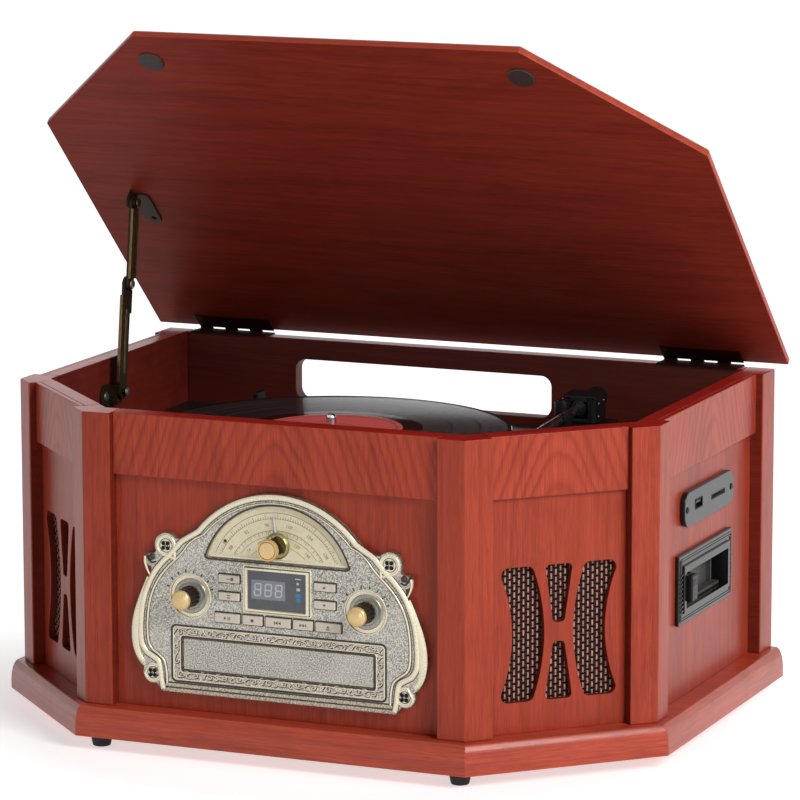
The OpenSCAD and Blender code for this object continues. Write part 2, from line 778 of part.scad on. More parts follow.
// A fluted knob with a domed cap and a shaft that turns in the bushing behind it
module knob(root_y) {
    tip_y = root_y - knob_len;
    flutes = 14;
    color(bronze) difference() {
        translate([0, root_y, 0]) rotate([90, 0, 0]) cylinder(r1 = knob_r, r2 = knob_tip_r, h = knob_len);
        for (i = [0 : flutes - 1]) rotate([0, i * 360 / flutes, 0])
            translate([0, root_y - 2, knob_r + 0.4]) rotate([86.6, 0, 0])
                cylinder(r = 0.9, h = knob_len - 4);
    }
    color(gold) translate([0, tip_y, 0]) rotate([90, 0, 0])
        cylinder(r1 = knob_tip_r - 0.4, r2 = knob_tip_r - 2, h = cap_dome);
    color(bronze) rod_y(0, 0, shaft_r, root_y - 1, board_y - pot_len + 7);
}

module volume_knob() translate([plate_x - knob_x, 0, knob_z]) knob(plate_face_y + dish_depth - 0.4);
module function_knob() translate([plate_x + knob_x, 0, knob_z]) knob(plate_face_y + dish_depth - 0.4);
module tuning_knob() translate([plate_x, 0, tuning_z]) knob(pointer_y);

module display_module() {
    glass_y = plate_face_y - 0.4;
    color([0.3, 0.3, 0.33]) translate([plate_x, 0, 114]) difference() {
        upright(plate_face_y - 1.4, panel_back_y - 2) square([display_w, display_h], center = true);
        upright(plate_face_y - 2, glass_y) square([display_w - 4, display_h - 3], center = true);
    }
}

// A cap that stands out of the plate, with a stem towards its switch on the circuit board
module button(i) {
    b = BUTTONS[i];
    back_y = panel_face_y - button_travel - 0.6;
    color(pewter) translate([plate_x + b[0], 0, b[1]]) {
        upright(plate_face_y - button_out, back_y) square([b[2], b[3]], center = true);
        rod_y(0, 0, stem_r, back_y - 1, board_y - 3.2);
    }
}
module button_left_upper() button(0);
module button_left_lower() button(1);
module button_right_upper() button(2);
module button_right_lower() button(3);
module button_row_1() button(4);
module button_row_2() button(5);
module button_row_3() button(6);
module button_row_4() button(7);
module button_row_5() button(8);

// ---- Disc player ----

tray_w = 128;
tray_t = 8;
disc_r = 60.5;
// A front that fills the plate's opening, and a tray with a shallow seat for the disc
module cd_drawer() {
    front_y = plate_face_y + 0.3;
    seat_y = front_y + 8 + disc_r + 3;
    color(pewter) translate([plate_x, 0, drawer_z]) difference() {
        union() {
            upright(front_y, panel_face_y + 3) square([drawer_w, drawer_h], center = true);
            translate([-tray_w / 2, panel_face_y + 2, -tray_t / 2]) cube([tray_w, tray_len - 2, tray_t]);
        }
        translate([0, seat_y, tray_t / 2 - 2]) cylinder(r = disc_r, h = 3);
        translate([0, seat_y, -tray_t]) cylinder(r = 18, h = 3 * tray_t);
    }
}

mech_w = tray_w + 20;
mech_len = tray_len + 12;
mech_h = 36;
// A box that the tray slides into, on four legs that stand on the bottom board
module cd_mechanism() {
    low = drawer_z - mech_h / 2 - 1;
    color(gunmetal) translate([plate_x, panel_back_y, 0]) {
        difference() {
            translate([-mech_w / 2, 0, low]) cube([mech_w, mech_len, mech_h]);
            translate([-tray_w / 2 - loose, -1, drawer_z - tray_t / 2 - loose])
                cube([tray_w + 2 * loose, mech_len - 3, tray_t + 2 * loose]);
            translate([-tray_w / 2 + 8, 8, drawer_z - 1]) cube([tray_w - 16, mech_len - 16, 12]);
        }
        for (x = [-mech_w / 2 + 8, mech_w / 2 - 8], y = [10, mech_len - 10])
            translate([x, y, plinth_top]) cylinder(r = 5, h = low - plinth_top);
    }
}

// ---- Electronics ----

// A board behind the front panel: controls in front, tuner can behind, four spacers to the panel
module circuit_board() {
    w = 190;
    low = 88;
    high = 156;
    color([0.1, 0.35, 0.2]) {
        translate([plate_x - w / 2, board_y, low]) cube([w, board_t, high - low]);
        for (x = [-w / 2 + 6, w / 2 - 6], z = [low + 6, high - 6])
            rod_y(plate_x + x, z, 4, panel_back_y, board_y);
    }
    color(steel) {
        for (p = [[-knob_x, knob_z], [knob_x, knob_z], [0, tuning_z]]) difference() {
            union() {
                rod_y(plate_x + p[0], p[1], 9, board_y - pot_len + 2, board_y);
                rod_y(plate_x + p[0], p[1], 5, board_y - pot_len - 6, board_y);
            }
            rod_y(plate_x + p[0], p[1], shaft_r + running, board_y - pot_len - 7, board_y - 2);
        }
        for (b = BUTTONS) translate([plate_x + b[0] - 3, board_y - 2, b[1] - 3]) cube([6, 2, 6]);
        translate([plate_x - 80, board_y + board_t, low + 20]) cube([50, 14, 36]);
    }
}

module power_transformer() {
    w = 58;
    color([0.35, 0.33, 0.32]) translate([-half_w + wall_depth + 50, half_d - 110, plinth_top]) {
        cube([w, 50, 4]);
        translate([8, 5, 4]) cube([w - 16, 40, 36]);
    }
    color([0.75, 0.5, 0.2]) translate([-half_w + wall_depth + 50 + w / 2, half_d - 85, plinth_top + 40])
        cylinder(r = 15, h = 6);
}

// ---- Right side ----

side_face_x = half_w - panel_recess;
media_t = 4;
usb_y = media_y - 22.5;
card_y = media_y + 17.5;
usb_rise = 1.2;
usb_w = 13.4;
usb_h = 6;
module media_plate() {
    color(gunmetal) at_side() translate([media_y - side_mid_y, 0, media_z]) difference() {
        union() {
            upright(panel_recess - media_t, panel_recess) rounded_rect(media_w, media_h, 9);
            upright(panel_recess, panel_recess + 8 - loose)
                square([media_pocket_w - 1, media_pocket_h - 1], center = true);
        }
        translate([usb_y - media_y, 0, usb_rise]) upright(panel_recess - media_t - 1, panel_recess + 7)
            square([usb_w, usb_h], center = true);
        translate([card_y - media_y, 0, 0]) upright(panel_recess - media_t - 1, panel_recess + 7)
            square([26, 2.4], center = true);
        for (x = [-1, 1]) rod_y(x * (media_w / 2 - 5.5), 0, 1.3, panel_recess - media_t - 1, panel_recess + 1);
    }
}

tape_t = 3;
key_w = 13;
key_h = 19;
key_out = 3.6;
key_y = tape_y - tape_open_w / 2 + key_w / 2 + 1;
module tape_bezel() {
    color(gunmetal) at_side() translate([tape_y - side_mid_y, 0, tape_z]) difference() {
        union() {
            upright(panel_recess - tape_t, panel_recess) square([tape_w, tape_h], center = true);
            translate([0, 0, -1]) upright(panel_recess - tape_t - 1.5, panel_recess)
                square([tape_open_w + 8, tape_open_h + 8], center = true);
        }
        translate([0, 0, -1]) upright(panel_recess - tape_t - 3, panel_recess + 1)
            square([tape_open_w, tape_open_h], center = true);
    }
}

module tape_key() {
    color(black) translate([0, key_y, tape_z - 1]) {
        translate([side_face_x - 16, -key_w / 2, -key_h / 2 + 0.7])
            cube([16 + key_out, key_w, key_h]);
    }
}

// A box fixed to the side panel: the tape goes in beside the key
channel_w = 66;
channel_h = 15;
channel_deep = 62;
channel_y = tape_y + tape_open_w / 2 - channel_w / 2 - 2;
module tape_mechanism() {
    w = tape_open_w + 12;
    h = tape_open_h + 14;
    deep = channel_deep + 10;
    x1 = half_w - wall_depth;
    color(vinyl) difference() {
        translate([x1 - deep, tape_y - w / 2, tape_z - 1 - h / 2]) cube([deep, w, h]);
        translate([x1 - channel_deep, channel_y - channel_w / 2, tape_z - 1 - channel_h / 2])
            cube([channel_deep + 1, channel_w, channel_h]);
        translate([x1 - key_travel - 8, key_y - key_w / 2 - loose, tape_z - 1 - tape_open_h / 2])
            cube([key_travel + 9, key_w + 2 * loose, tape_open_h]);
    }
}

// ---- Lid, hinges and stay ----

module lid() {
    edge = 2.5;
    o = outline(lid_out_side, lid_out_slant, lid_out_front, lid_back_y);
    e = outline(lid_out_side - edge, lid_out_slant - edge, lid_out_front - edge, lid_back_y);
    color(wood) lid_frame() {
        translate([0, 0, lid_z]) linear_extrude(lid_t - edge) polygon(o);
        hull() {
            translate([0, 0, lid_z + lid_t - edge - 0.01]) linear_extrude(0.01) polygon(o);
            translate([0, 0, lid_z + lid_t - 0.01]) linear_extrude(0.01) polygon(e);
        }
    }
}

module lid_bumpers() {
    y = -half_d + wall_depth - bumper_r + 3;
    color(black) lid_frame() both_sides() translate([bumper_x, y, rim_z + 0.1])
        cylinder(r1 = bumper_r - 0.5, r2 = bumper_r, h = lid_gap - 0.1);
}

// Six knuckles share the hinge's length, the lid's and the cabinet's by turns
knuckle_len = hinge_len / 6;
LID_KNUCKLES = [0, 2, 4];
BACK_KNUCKLES = [1, 3, 5];
module each_hinge() for (x = [-hinge_x, hinge_x]) translate([x - hinge_len / 2, 0, 0]) children();
module knuckles(which) for (i = which)
    rod_x([hinge_y, hinge_z], knuckle_r, i * knuckle_len + 0.1, (i + 1) * knuckle_len - 0.1);

module hinge_lower_leaves() {
    color(bronze) each_hinge() {
        translate([0, half_d - leaf_w, rim_z]) cube([hinge_len, leaf_w, leaf_t]);
        for (i = BACK_KNUCKLES) translate([i * knuckle_len + 0.1, half_d - 1, rim_z])
            cube([knuckle_len - 0.2, hinge_y - half_d + 1, leaf_t]);
        knuckles(BACK_KNUCKLES);
        rod_x([hinge_y, hinge_z], hinge_pin_r, 0, hinge_len);
    }
}

module hinge_upper_leaves() {
    low = rim_z + lid_gap - leaf_t;
    color(bronze) lid_frame() each_hinge() difference() {
        union() {
            translate([0, half_d - leaf_w, low]) cube([hinge_len, leaf_w, leaf_t]);
            for (i = LID_KNUCKLES) translate([i * knuckle_len + 0.1, half_d - 1, low])
                cube([knuckle_len - 0.2, hinge_y - half_d + 2, leaf_t]);
            for (i = LID_KNUCKLES) translate([i * knuckle_len + 0.1, hinge_y - 1.6, hinge_z + 1])
                cube([knuckle_len - 0.2, 3, low - hinge_z]);
            knuckles(LID_KNUCKLES);
        }
        rod_x([hinge_y, hinge_z], hinge_pin_r + running, -1, hinge_len + 1);
    }
}

// A plate under the lid with an ear beside the upper arm and the pin that the arm turns on
module stay_lid_bracket() {
    p = stay_top_closed;
    plate_len = 35;
    plate_w = 13;
    color(bronze) lid_frame() {
        difference() {
            translate([stay_lower_x + plate_w / 2, p[0] + plate_len / 2 - 1, lid_z - 1.2])
                linear_extrude(1.2) rounded_rect(plate_w, plate_len, plate_w / 2 - 0.3);
            translate([stay_lower_x + 8, p[0] + 27, lid_z - 2]) cylinder(r = 1.8, h = 3);
        }
        translate([stay_lower_x, p[0] - 5, p[1]]) cube([stay_t, 10, stay_pin_drop]);
        rod_x(p, 5, stay_lower_x, stay_lower_x + stay_t);
        rod_x(p, stay_pin_r, stay_lower_x, stay_upper_x + stay_t + loose + rivet_t);
        rod_x(p, stay_pin_r + 1.5, stay_upper_x + stay_t + loose, stay_upper_x + stay_t + loose + rivet_t);
    }
}

// A strap of two round ends along +Y, in the plane x0
module strap(len, w, x0) translate([x0, 0, 0]) rotate([90, 0, 90]) linear_extrude(stay_t) {
    circle(w / 2);
    translate([0, -w / 2]) square([len, w]);
    translate([len, 0]) circle(w / 2);
}

// The elbow between the arms is left open: each arm has its own rivet head and no shank
module stay_lower_arm() {
    color(bronze) translate([0, stay_foot[0], stay_foot[1]]) rotate([stay_angle, 0, 0]) {
        difference() {
            strap(stay_lower_len, stay_lower_w, stay_lower_x);
            rod_x([0, 0], stay_pin_r + running, stay_lower_x - 1, stay_lower_x + stay_t + 1);
        }
        rod_x([stay_lower_len, 0], stay_pin_r + 1.5, stay_lower_x - rivet_t, stay_lower_x);
    }
}

module stay_upper_arm() {
    color(bronze) translate([0, stay_top[0], stay_top[1]]) rotate([stay_angle + 180, 0, 0]) {
        difference() {
            strap(stay_upper_len, stay_upper_w, stay_upper_x);
            rod_x([0, 0], stay_pin_r + running, stay_upper_x - 1, stay_upper_x + stay_t + 1);
        }
        rod_x([stay_upper_len, 0], stay_pin_r + 1.5, stay_upper_x + stay_t, stay_upper_x + stay_t + rivet_t);
    }
}

// A round plate on the left wall, with a tab that carries the lower pin
module stay_wall_bracket() {
    p = stay_foot;
    plate_y = p[0] - 8;
    color(bronze) {
        difference() {
            rod_x([plate_y, p[1] - 3], 9, stay_wall_x, stay_wall_x + 1.6);
            rod_x([plate_y - 1, p[1] - 3], 1.8, stay_wall_x - 1, stay_wall_x + 3);
        }
        translate([stay_wall_x, p[0] - 5, p[1] - 9]) cube([stay_tab_x - stay_wall_x + stay_t, 8, 14]);
        rod_x(p, stay_pin_r, stay_tab_x, stay_lower_x + stay_t + loose + rivet_t);
    }
}

// ---- Back and fixings ----

// Sound sockets and the mains inlet, low on the back
module rear_socket_plate() {
    z = 80;
    x = 120;
    color(black) translate([x, 0, z]) difference() {
        union() {
            upright(half_d, half_d + 1.5) rounded_rect(90, 40, 4);
            for (u = [8, 26]) rod_y(u, 0, 4, half_d, half_d + 9);
        }
        for (u = [8, 26]) rod_y(u, 0, 1.6, half_d + 2, half_d + 10);
        translate([-26, 0, 0]) upright(half_d - 1, half_d + 2) rounded_rect(20, 9, 4.4);
    }
}

// Heads and shanks of the screws that hold the plates and the stay's wall bracket
module screws() {
    color(steel) {
        for (p = SCREW_EARS) {
            rod_y(plate_x + p[0], p[1], 3, plate_face_y - 1.2, plate_face_y);
            rod_y(plate_x + p[0], p[1], 1.6, plate_face_y - 1, panel_face_y);
        }
        for (s = [-1, 1]) {
            y = media_y + s * (media_w / 2 - 5.5);
            rod_x([y, media_z], 2.4, side_face_x + media_t, side_face_x + media_t + 0.8);
            rod_x([y, media_z], 1.3, side_face_x, side_face_x + media_t + 0.4);
        }
        rod_x([stay_foot[0] - 9, stay_foot[1] - 3], 1.8, stay_wall_x, stay_wall_x + 2);
        rod_x([stay_foot[0] - 9, stay_foot[1] - 3], 3.4, stay_wall_x + 1.6, stay_wall_x + 2.6);
        for (u = [-41, 41]) rod_y(120 + u, 80, 2.6, half_d + 1.5, half_d + 2.5);
    }
}

module place_node(name) translate([0, 0, foot_h - plinth_low]) children();

place_node("plinth") plinth();
place_node("bottom_board") bottom_board();
place_node("rubber_feet") rubber_feet();
place_node("corner_posts") corner_posts();
place_node("front_panel") front_panel();
place_node("speaker_panels") speaker_panels();
place_node("side_panel_left") side_panel_left();
place_node("side_panel_right") side_panel_right();
place_node("back_panel") back_panel();
place_node("top_rails") top_rails();
place_node("speaker_cloths") speaker_cloths();
place_node("speaker_drivers") speaker_drivers();
place_node("deck_board") deck_board();
place_node("platter") platter();
place_node("platter_mat") platter_mat();
place_node("spindle") spindle();
place_node("record") record();
place_node("turntable_motor") turntable_motor();
place_node("motor_pulley") motor_pulley();
place_node("drive_belt") drive_belt();
place_node("tonearm_base") tonearm_base();
place_node("tonearm_pivot") tonearm_pivot();
place_node("tonearm") tonearm();
place_node("headshell") headshell();
place_node("arm_rest") arm_rest();
place_node("speed_lever") speed_lever();
place_node("escutcheon") escutcheon();
place_node("dial_scale") dial_scale();
place_node("dial_pointer") dial_pointer();
place_node("tuning_knob") tuning_knob();
place_node("volume_knob") volume_knob();
place_node("function_knob") function_knob();
place_node("display_module") display_module();
place_node("button_left_upper") button_left_upper();
place_node("button_left_lower") button_left_lower();
place_node("button_right_upper") button_right_upper();
place_node("button_right_lower") button_right_lower();
place_node("button_row_1") button_row_1();
place_node("button_row_2") button_row_2();
place_node("button_row_3") button_row_3();
place_node("button_row_4") button_row_4();
place_node("button_row_5") button_row_5();
place_node("cd_drawer") cd_drawer();
place_node("cd_mechanism") cd_mechanism();
place_node("circuit_board") circuit_board();
place_node("power_transformer") power_transformer();
place_node("media_plate") media_plate();
place_node("tape_bezel") tape_bezel();
place_node("tape_key") tape_key();
place_node("tape_mechanism") tape_mechanism();
place_node("lid") lid();
place_node("lid_bumpers") lid_bumpers();
place_node("hinge_lower_leaves") hinge_lower_leaves();
place_node("hinge_upper_leaves") hinge_upper_leaves();
place_node("stay_lid_bracket") stay_lid_bracket();
place_node("stay_upper_arm") stay_upper_arm();
place_node("stay_lower_arm") stay_lower_arm();
place_node("stay_wall_bracket") stay_wall_bracket();
place_node("rear_socket_plate") rear_socket_plate();
place_node("screws") screws();
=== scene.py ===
"""Looks of a wooden stereo music centre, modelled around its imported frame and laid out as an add-on."""

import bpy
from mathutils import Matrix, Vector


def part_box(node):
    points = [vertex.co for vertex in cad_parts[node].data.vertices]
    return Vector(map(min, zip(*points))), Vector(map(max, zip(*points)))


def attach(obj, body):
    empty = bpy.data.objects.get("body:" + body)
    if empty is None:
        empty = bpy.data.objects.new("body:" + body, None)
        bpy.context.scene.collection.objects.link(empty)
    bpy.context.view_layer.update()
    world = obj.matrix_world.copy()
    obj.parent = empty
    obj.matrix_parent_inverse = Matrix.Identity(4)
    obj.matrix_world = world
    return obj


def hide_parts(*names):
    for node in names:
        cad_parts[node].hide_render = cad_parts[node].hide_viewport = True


bl_info = {
    "name": "Stereo Music Centre",
    "version": (1, 0, 0),
    "blender": (4, 5, 0),
    "location": "3D View > Sidebar > Music Centre",
    "description": "Adds the wood, metal, cloth and plastic pieces of a wooden stereo music centre",
    "category": "Object",
}

import math

import bpy
from bpy.props import FloatProperty, FloatVectorProperty, PointerProperty
from mathutils import Matrix, Vector

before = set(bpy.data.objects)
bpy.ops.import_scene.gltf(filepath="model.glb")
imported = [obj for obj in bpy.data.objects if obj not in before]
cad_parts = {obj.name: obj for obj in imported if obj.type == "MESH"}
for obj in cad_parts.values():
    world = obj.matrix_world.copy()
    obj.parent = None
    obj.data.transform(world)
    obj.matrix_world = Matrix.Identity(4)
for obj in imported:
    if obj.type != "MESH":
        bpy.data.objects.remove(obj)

MM = 0.001

# Places that the frame's pieces share, in millimetres: +X is the object's right, -Y its front
PLATE_X, PLATE_FACE = 2.2, -163.5
DOME_Z, DIAL_Z, DIAL_FACE = 103.8, 117, -161.3
TUNING_Z, KNOB_X, KNOB_Z = 144.5, 63.6, 105.5
DISH_RADIUS = 14.6
DISPLAY_Z = 114.4
DRAWER_Z = 65.6
HALF_WIDTH, HALF_DEPTH, SLANT_REACH = 236, 168, 306
PANEL_BACK, RIM_Z = 9.5, 222
SPEAKER_X, SPEAKER_Y, SPEAKER_Z, SPEAKER_SHIFT = 187, -119, 92, 1.3
SIDE_FACE = 227.0
TAPE_Y, TAPE_Z = 41, 101
STICK_Y, STICK_Z, CARD_Y, CARD_Z = 22.5, 156.8, 62.5, 155.6
SOCKET_X, SOCKET_Y, SOCKET_Z = 120, 169.5, 80
HINGE_X = 182
BRACKET_SCREW = (-214.4, 19.4, 199.5)
# The front of the circuit board
BOARD_Y = -136.0
RECORD_RADIUS, LABEL_RADIUS = 125, 50
LID_OPEN = 43.4
HINGE_Y, HINGE_Z = 170.6, 224.4
DECK_X, DECK_Y = -28.0, -6.0
ARM_X, ARM_Y, ARM_Z, ARM_PARK = 118.0, 100.0, 203.0, 4.9
SLANT_TURN = 45
# Heights are drawn from a base level that lies this far above the floor; place() lifts every piece by it
BASE_LEVEL = 4.5


def srgb(red, green, blue):
    """A colour as a screen shows it, 0 to 255 each, in Blender's linear values."""
    return tuple(((c / 255 + 0.055) / 1.055) ** 2.4 if c > 10 else c / 3294.6 for c in (red, green, blue))


def colour_setting(name, description, rgb):
    return FloatVectorProperty(name=name, description=description, subtype="COLOR", size=3,
                               min=0, max=1, default=srgb(*rgb))


def length_setting(name, description, millimetres):
    return FloatProperty(name=name, description=description, unit="LENGTH", subtype="DISTANCE",
                         min=0, default=millimetres * MM)


# ---- Settings ----

class CabinetSettings(bpy.types.PropertyGroup):
    light: colour_setting("Cherry", "Stained wood between the grain lines", (200, 80, 54))
    dark: colour_setting("Cherry grain", "Stained wood in the grain lines", (126, 36, 24))
    # The lid's underside and the inside woods take these darker colours: painted shade.
    lid_light: colour_setting("Lid", "Lid between the grain lines", (150, 54, 38))
    lid_dark: colour_setting("Lid grain", "Lid in the grain lines", (96, 26, 20))
    rim: colour_setting("Rim", "Stained edges round the opening", (206, 46, 36))
    edge_round: length_setting("Edge rounding", "Rounding of the boards' edges", 0.9)
    ring_pitch: length_setting("Ring pitch", "Distance between grain lines", 5.2)


class PlateSettings(bpy.types.PropertyGroup):
    field: colour_setting("Field", "Stippled field of the control plate", (206, 202, 192))
    bead: colour_setting("Beads", "Polished beads of the control plate", (248, 238, 210))
    patina: colour_setting("Patina", "Dark finish in the plate's grooves", (52, 44, 34))
    dial: colour_setting("Dial", "Paper of the dial", (252, 240, 204))
    gold: colour_setting("Caps", "Gold caps of the knobs", (224, 192, 136))
    bronze: colour_setting("Knobs", "Bronze of the knobs", (74, 58, 38))
    bead_width: length_setting("Bead width", "Width of the outer bead", 3.9)


class SpeakerSettings(bpy.types.PropertyGroup):
    strand: colour_setting("Strands", "Upright strands of the speaker cloth", (226, 166, 146))
    weft: colour_setting("Cross strands", "Level strands of the speaker cloth", (40, 12, 11))
    pitch: length_setting("Strand pitch", "Distance between the upright strands", 3.3)
    weft_pitch: length_setting("Cross pitch", "Distance between the level strands", 2.6)


class DeckSettings(bpy.types.PropertyGroup):
    vinyl: colour_setting("Record", "Grooved part of the record", (40, 40, 44))
    label: colour_setting("Label", "Paper label of the record", (246, 108, 102))
    plastic: colour_setting("Plastic", "Black plastic of the turntable", (15, 15, 16))
    metal: colour_setting("Steel", "Bright metal of the arm and spindle", (205, 206, 210))


class StageSettings(bpy.types.PropertyGroup):
    floor: colour_setting("Floor", "Pale studio floor", (238, 238, 238))
    key_power: FloatProperty(name="Key light", description="Power of the large lamp at the right",
                             subtype="POWER", min=0, default=66)
    fill_power: FloatProperty(name="Fill light", description="Power of the small lamp in front",
                              subtype="POWER", min=0, default=4)
    ambient: FloatProperty(name="Ambient", description="Level of the even studio light",
                           min=0, default=0.02)


# ---- Modelling helpers ----

def deselect():
    if bpy.context.object is not None and bpy.context.object.mode != "OBJECT":
        bpy.ops.object.mode_set(mode="OBJECT")
    bpy.ops.object.select_all(action="DESELECT")


def activate(*objects):
    """Selects these objects alone; the first one becomes the active one."""
    deselect()
    for obj in objects:
        obj.select_set(True)
    bpy.context.view_layer.objects.active = objects[0]
    return objects[0]


def edit(obj, *steps):
    """Runs mesh operators on all of a mesh, each given as (operator, settings)."""
    activate(obj)
    bpy.ops.object.mode_set(mode="EDIT")
    bpy.ops.mesh.select_all(action="SELECT")
    for operator, settings in steps:
        operator(**settings)
    bpy.ops.object.mode_set(mode="OBJECT")
    return obj


def cleaned(obj, merge=1e-6):
    """Merges close vertices and turns every face outwards."""
    return edit(obj, (bpy.ops.mesh.remove_doubles, {"threshold": merge}),
                (bpy.ops.mesh.normals_make_consistent, {"inside": False}))


def settle(obj):
    """Puts an object's place into its mesh."""
    activate(obj)
    bpy.ops.object.transform_apply(location=True, rotation=True, scale=True)
    return obj


def moved(obj, location=(0, 0, 0), rotation=(0, 0, 0)):
    """Turns a piece about the origin and moves it, in millimetres."""
    obj.rotation_euler = rotation
    obj.location = Vector(location) * MM
    return settle(obj)


def modified(obj, kind, **settings):
    """Adds one modifier and applies it."""
    activate(obj)
    modifier = obj.modifiers.new(kind.title(), kind)
    for name, value in settings.items():
        setattr(modifier, name, value)
    bpy.ops.object.modifier_apply(modifier=modifier.name)
    return obj


def rounded(obj, width, segments=2, angle=35):
    """Bevels the edges sharper than the angle; the width is in millimetres."""
    return modified(obj, "BEVEL", width=width * MM, segments=segments, limit_method="ANGLE",
                    angle_limit=math.radians(angle), use_clamp_overlap=False, miter_outer="MITER_ARC")


def combined(obj, other, operation):
    """Cuts another piece out of an object or adds it, and removes it."""
    modified(obj, "BOOLEAN", object=other, operation=operation, solver="EXACT")
    bpy.data.objects.remove(other)


def repeated(obj, count, step):
    """A row of a piece, each a step in millimetres from the last."""
    return modified(obj, "ARRAY", count=count, use_relative_offset=False, use_constant_offset=True,
                    constant_offset_displace=Vector(step) * MM)


def joined(objects):
    """One object of several."""
    activate(*objects)
    if len(objects) > 1:
        bpy.ops.object.join()
    return bpy.context.object


def cad_copy(node):
    """A copy of a CAD node's mesh at the base level, to be shaped further."""
    obj = bpy.data.objects.new(node + "_copy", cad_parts[node].data.copy())
    bpy.context.scene.collection.objects.link(obj)
    obj.data.materials.clear()
    activate(obj)
    bpy.ops.mesh.customdata_custom_splitnormals_clear()
    obj.data.transform(Matrix.Translation((0, 0, -BASE_LEVEL * MM)))
    return edit(obj, (bpy.ops.mesh.remove_doubles, {"threshold": 1e-6}),
                (bpy.ops.mesh.dissolve_limited, {"angle_limit": math.radians(0.5)}))


def paint(obj, *materials, chooser=None):
    """Gives the materials; the chooser says which one a face gets, from its centre in millimetres and its normal."""
    obj.data.materials.clear()
    for material in materials:
        obj.data.materials.append(finish(material) if isinstance(material, str) else material)
    for face in obj.data.polygons:
        face.material_index = chooser(face.center / MM, face.normal) if chooser else 0
    return obj


def place(obj, name, body, replaces=(), smooth=38):
    """Lifts a finished piece to its height, names and smooths it, and lets it ride on its body."""
    obj.location.z += BASE_LEVEL * MM
    settle(obj)
    if smooth:
        bpy.ops.object.shade_smooth_by_angle(angle=math.radians(smooth))
        modified(obj, "WEIGHTED_NORMAL", keep_sharp=True)
    obj.name = obj.data.name = name
    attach(obj, body)
    if replaces:
        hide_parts(*replaces)
    return obj


def softened(node, body, materials, width=0.4, segments=2, chooser=None, angle=35):
    """A CAD node's shape with rounded edges, which stands for the node."""
    obj = cad_copy(node)
    if width:
        rounded(obj, width, segments, angle)
    several = materials if isinstance(materials, list) else [materials]
    paint(obj, *several, chooser=chooser)
    return place(obj, node + "_finished", body, [node])


def added(parts, material, name, body="cabinet", replaces=()):
    """Joins parts that are in their place, paints them and lets them ride on the body."""
    obj = joined(parts) if isinstance(parts, list) else parts
    return place(paint(obj, material), name, body, replaces)


def plated(parts, material, name, slot="antique_pewter", **where):
    """The same for parts that are drawn flat and belong on the plate."""
    return added(on_plate(joined(parts) if isinstance(parts, list) else parts, **where), material, name)


def box(centre, size, bevel=0.0, segments=2):
    """A block by its middle and size in millimetres, with rounded edges."""
    deselect()
    bpy.ops.mesh.primitive_cube_add(size=1, location=Vector(centre) * MM)
    obj = bpy.context.object
    obj.scale = Vector(size) * MM
    settle(obj)
    return rounded(obj, bevel, segments) if bevel else obj


def rod(start, end, radius, vertices=24, tip=None, bevel=0.0):
    """A rod between two points in millimetres, tapered if a tip radius is given."""
    start, end = Vector(start), Vector(end)
    axis = end - start
    deselect()
    bpy.ops.mesh.primitive_cone_add(vertices=vertices, radius1=radius * MM,
                                    radius2=(radius if tip is None else tip) * MM,
                                    depth=axis.length * MM, location=(start + end) / 2 * MM,
                                    rotation=axis.to_track_quat("Z", "Y").to_euler())
    obj = settle(bpy.context.object)
    return rounded(obj, bevel) if bevel else obj


def ball(centre, size, segments=12, rings=8, rotation=(0, 0, 0)):
    deselect()
    bpy.ops.mesh.primitive_uv_sphere_add(segments=segments, ring_count=rings, radius=0.5 * MM,
                                         location=Vector(centre) * MM, rotation=rotation)
    bpy.context.object.scale = size if hasattr(size, "__len__") else (size,) * 3
    return settle(bpy.context.object)


def turned(profile, centre=(0, 0, 0), steps=64):
    """A profile of (radius, height) in millimetres spun about the upright axis through the centre."""
    deselect()
    bpy.ops.mesh.primitive_plane_add(size=1)
    obj = bpy.context.object
    bpy.ops.object.mode_set(mode="EDIT")
    bpy.ops.mesh.select_all(action="SELECT")
    bpy.ops.mesh.delete(type="VERT")
    bpy.ops.object.mode_set(mode="OBJECT")
    obj.data.vertices.add(len(profile))
    obj.data.edges.add(len(profile) - 1)
    for i, (radius, height) in enumerate(profile):
        obj.data.vertices[i].co = Vector((radius, 0, height)) * MM
        if i:
            obj.data.edges[i - 1].vertices = (i - 1, i)
    obj.data.update()
    edit(obj, (bpy.ops.mesh.spin, {"steps": steps, "angle": math.tau, "center": (0, 0, 0), "axis": (0, 0, 1)}))
    return moved(cleaned(obj), centre)


def curved(points, steps=6):
    """A smooth line through points, as more points."""
    out, last = [], len(points) - 1
    for i in range(last):
        p = [Vector(points[min(max(i + k, 0), last)]) for k in (-1, 0, 1, 2)]
        for s in range(steps):
            t = s / steps
            out.append((2 * p[1] + (p[2] - p[0]) * t + (2 * p[0] - 5 * p[1] + 4 * p[2] - p[3]) * t * t
                        + (3 * p[1] - p[0] - 3 * p[2] + p[3]) * t ** 3) / 2)
    return out + [Vector(points[-1])]


def polar(centre, radius, degrees):
    """The flat point at a distance and an angle from a centre."""
    angle = math.radians(degrees)
    return centre[0] + radius * math.cos(angle), centre[1] + radius * math.sin(angle)


def arc(centre, radius, start, end, steps=12):
    """Points of a round stretch between two angles in degrees."""
    return [polar(centre, radius, start + (end - start) * i / steps) for i in range(steps + 1)]


def rounded_box_line(width, height, radius, centre=(0, 0), steps=5):
    """A closed line round a rectangle with round corners."""
    line = []
    for sx, sy, start in ((1, 1, 0), (-1, 1, 90), (-1, -1, 180), (1, -1, 270)):
        corner = (centre[0] + sx * (width / 2 - radius), centre[1] + sy * (height / 2 - radius))
        line += arc(corner, radius, start, start + 90, steps)
    return line


HALF_ROUND = [(math.cos(math.radians(a)) / 2, math.sin(math.radians(a)) * 0.9) for a in range(0, 181, 30)]
FLAT = [(0.5, 1), (-0.5, 1)]


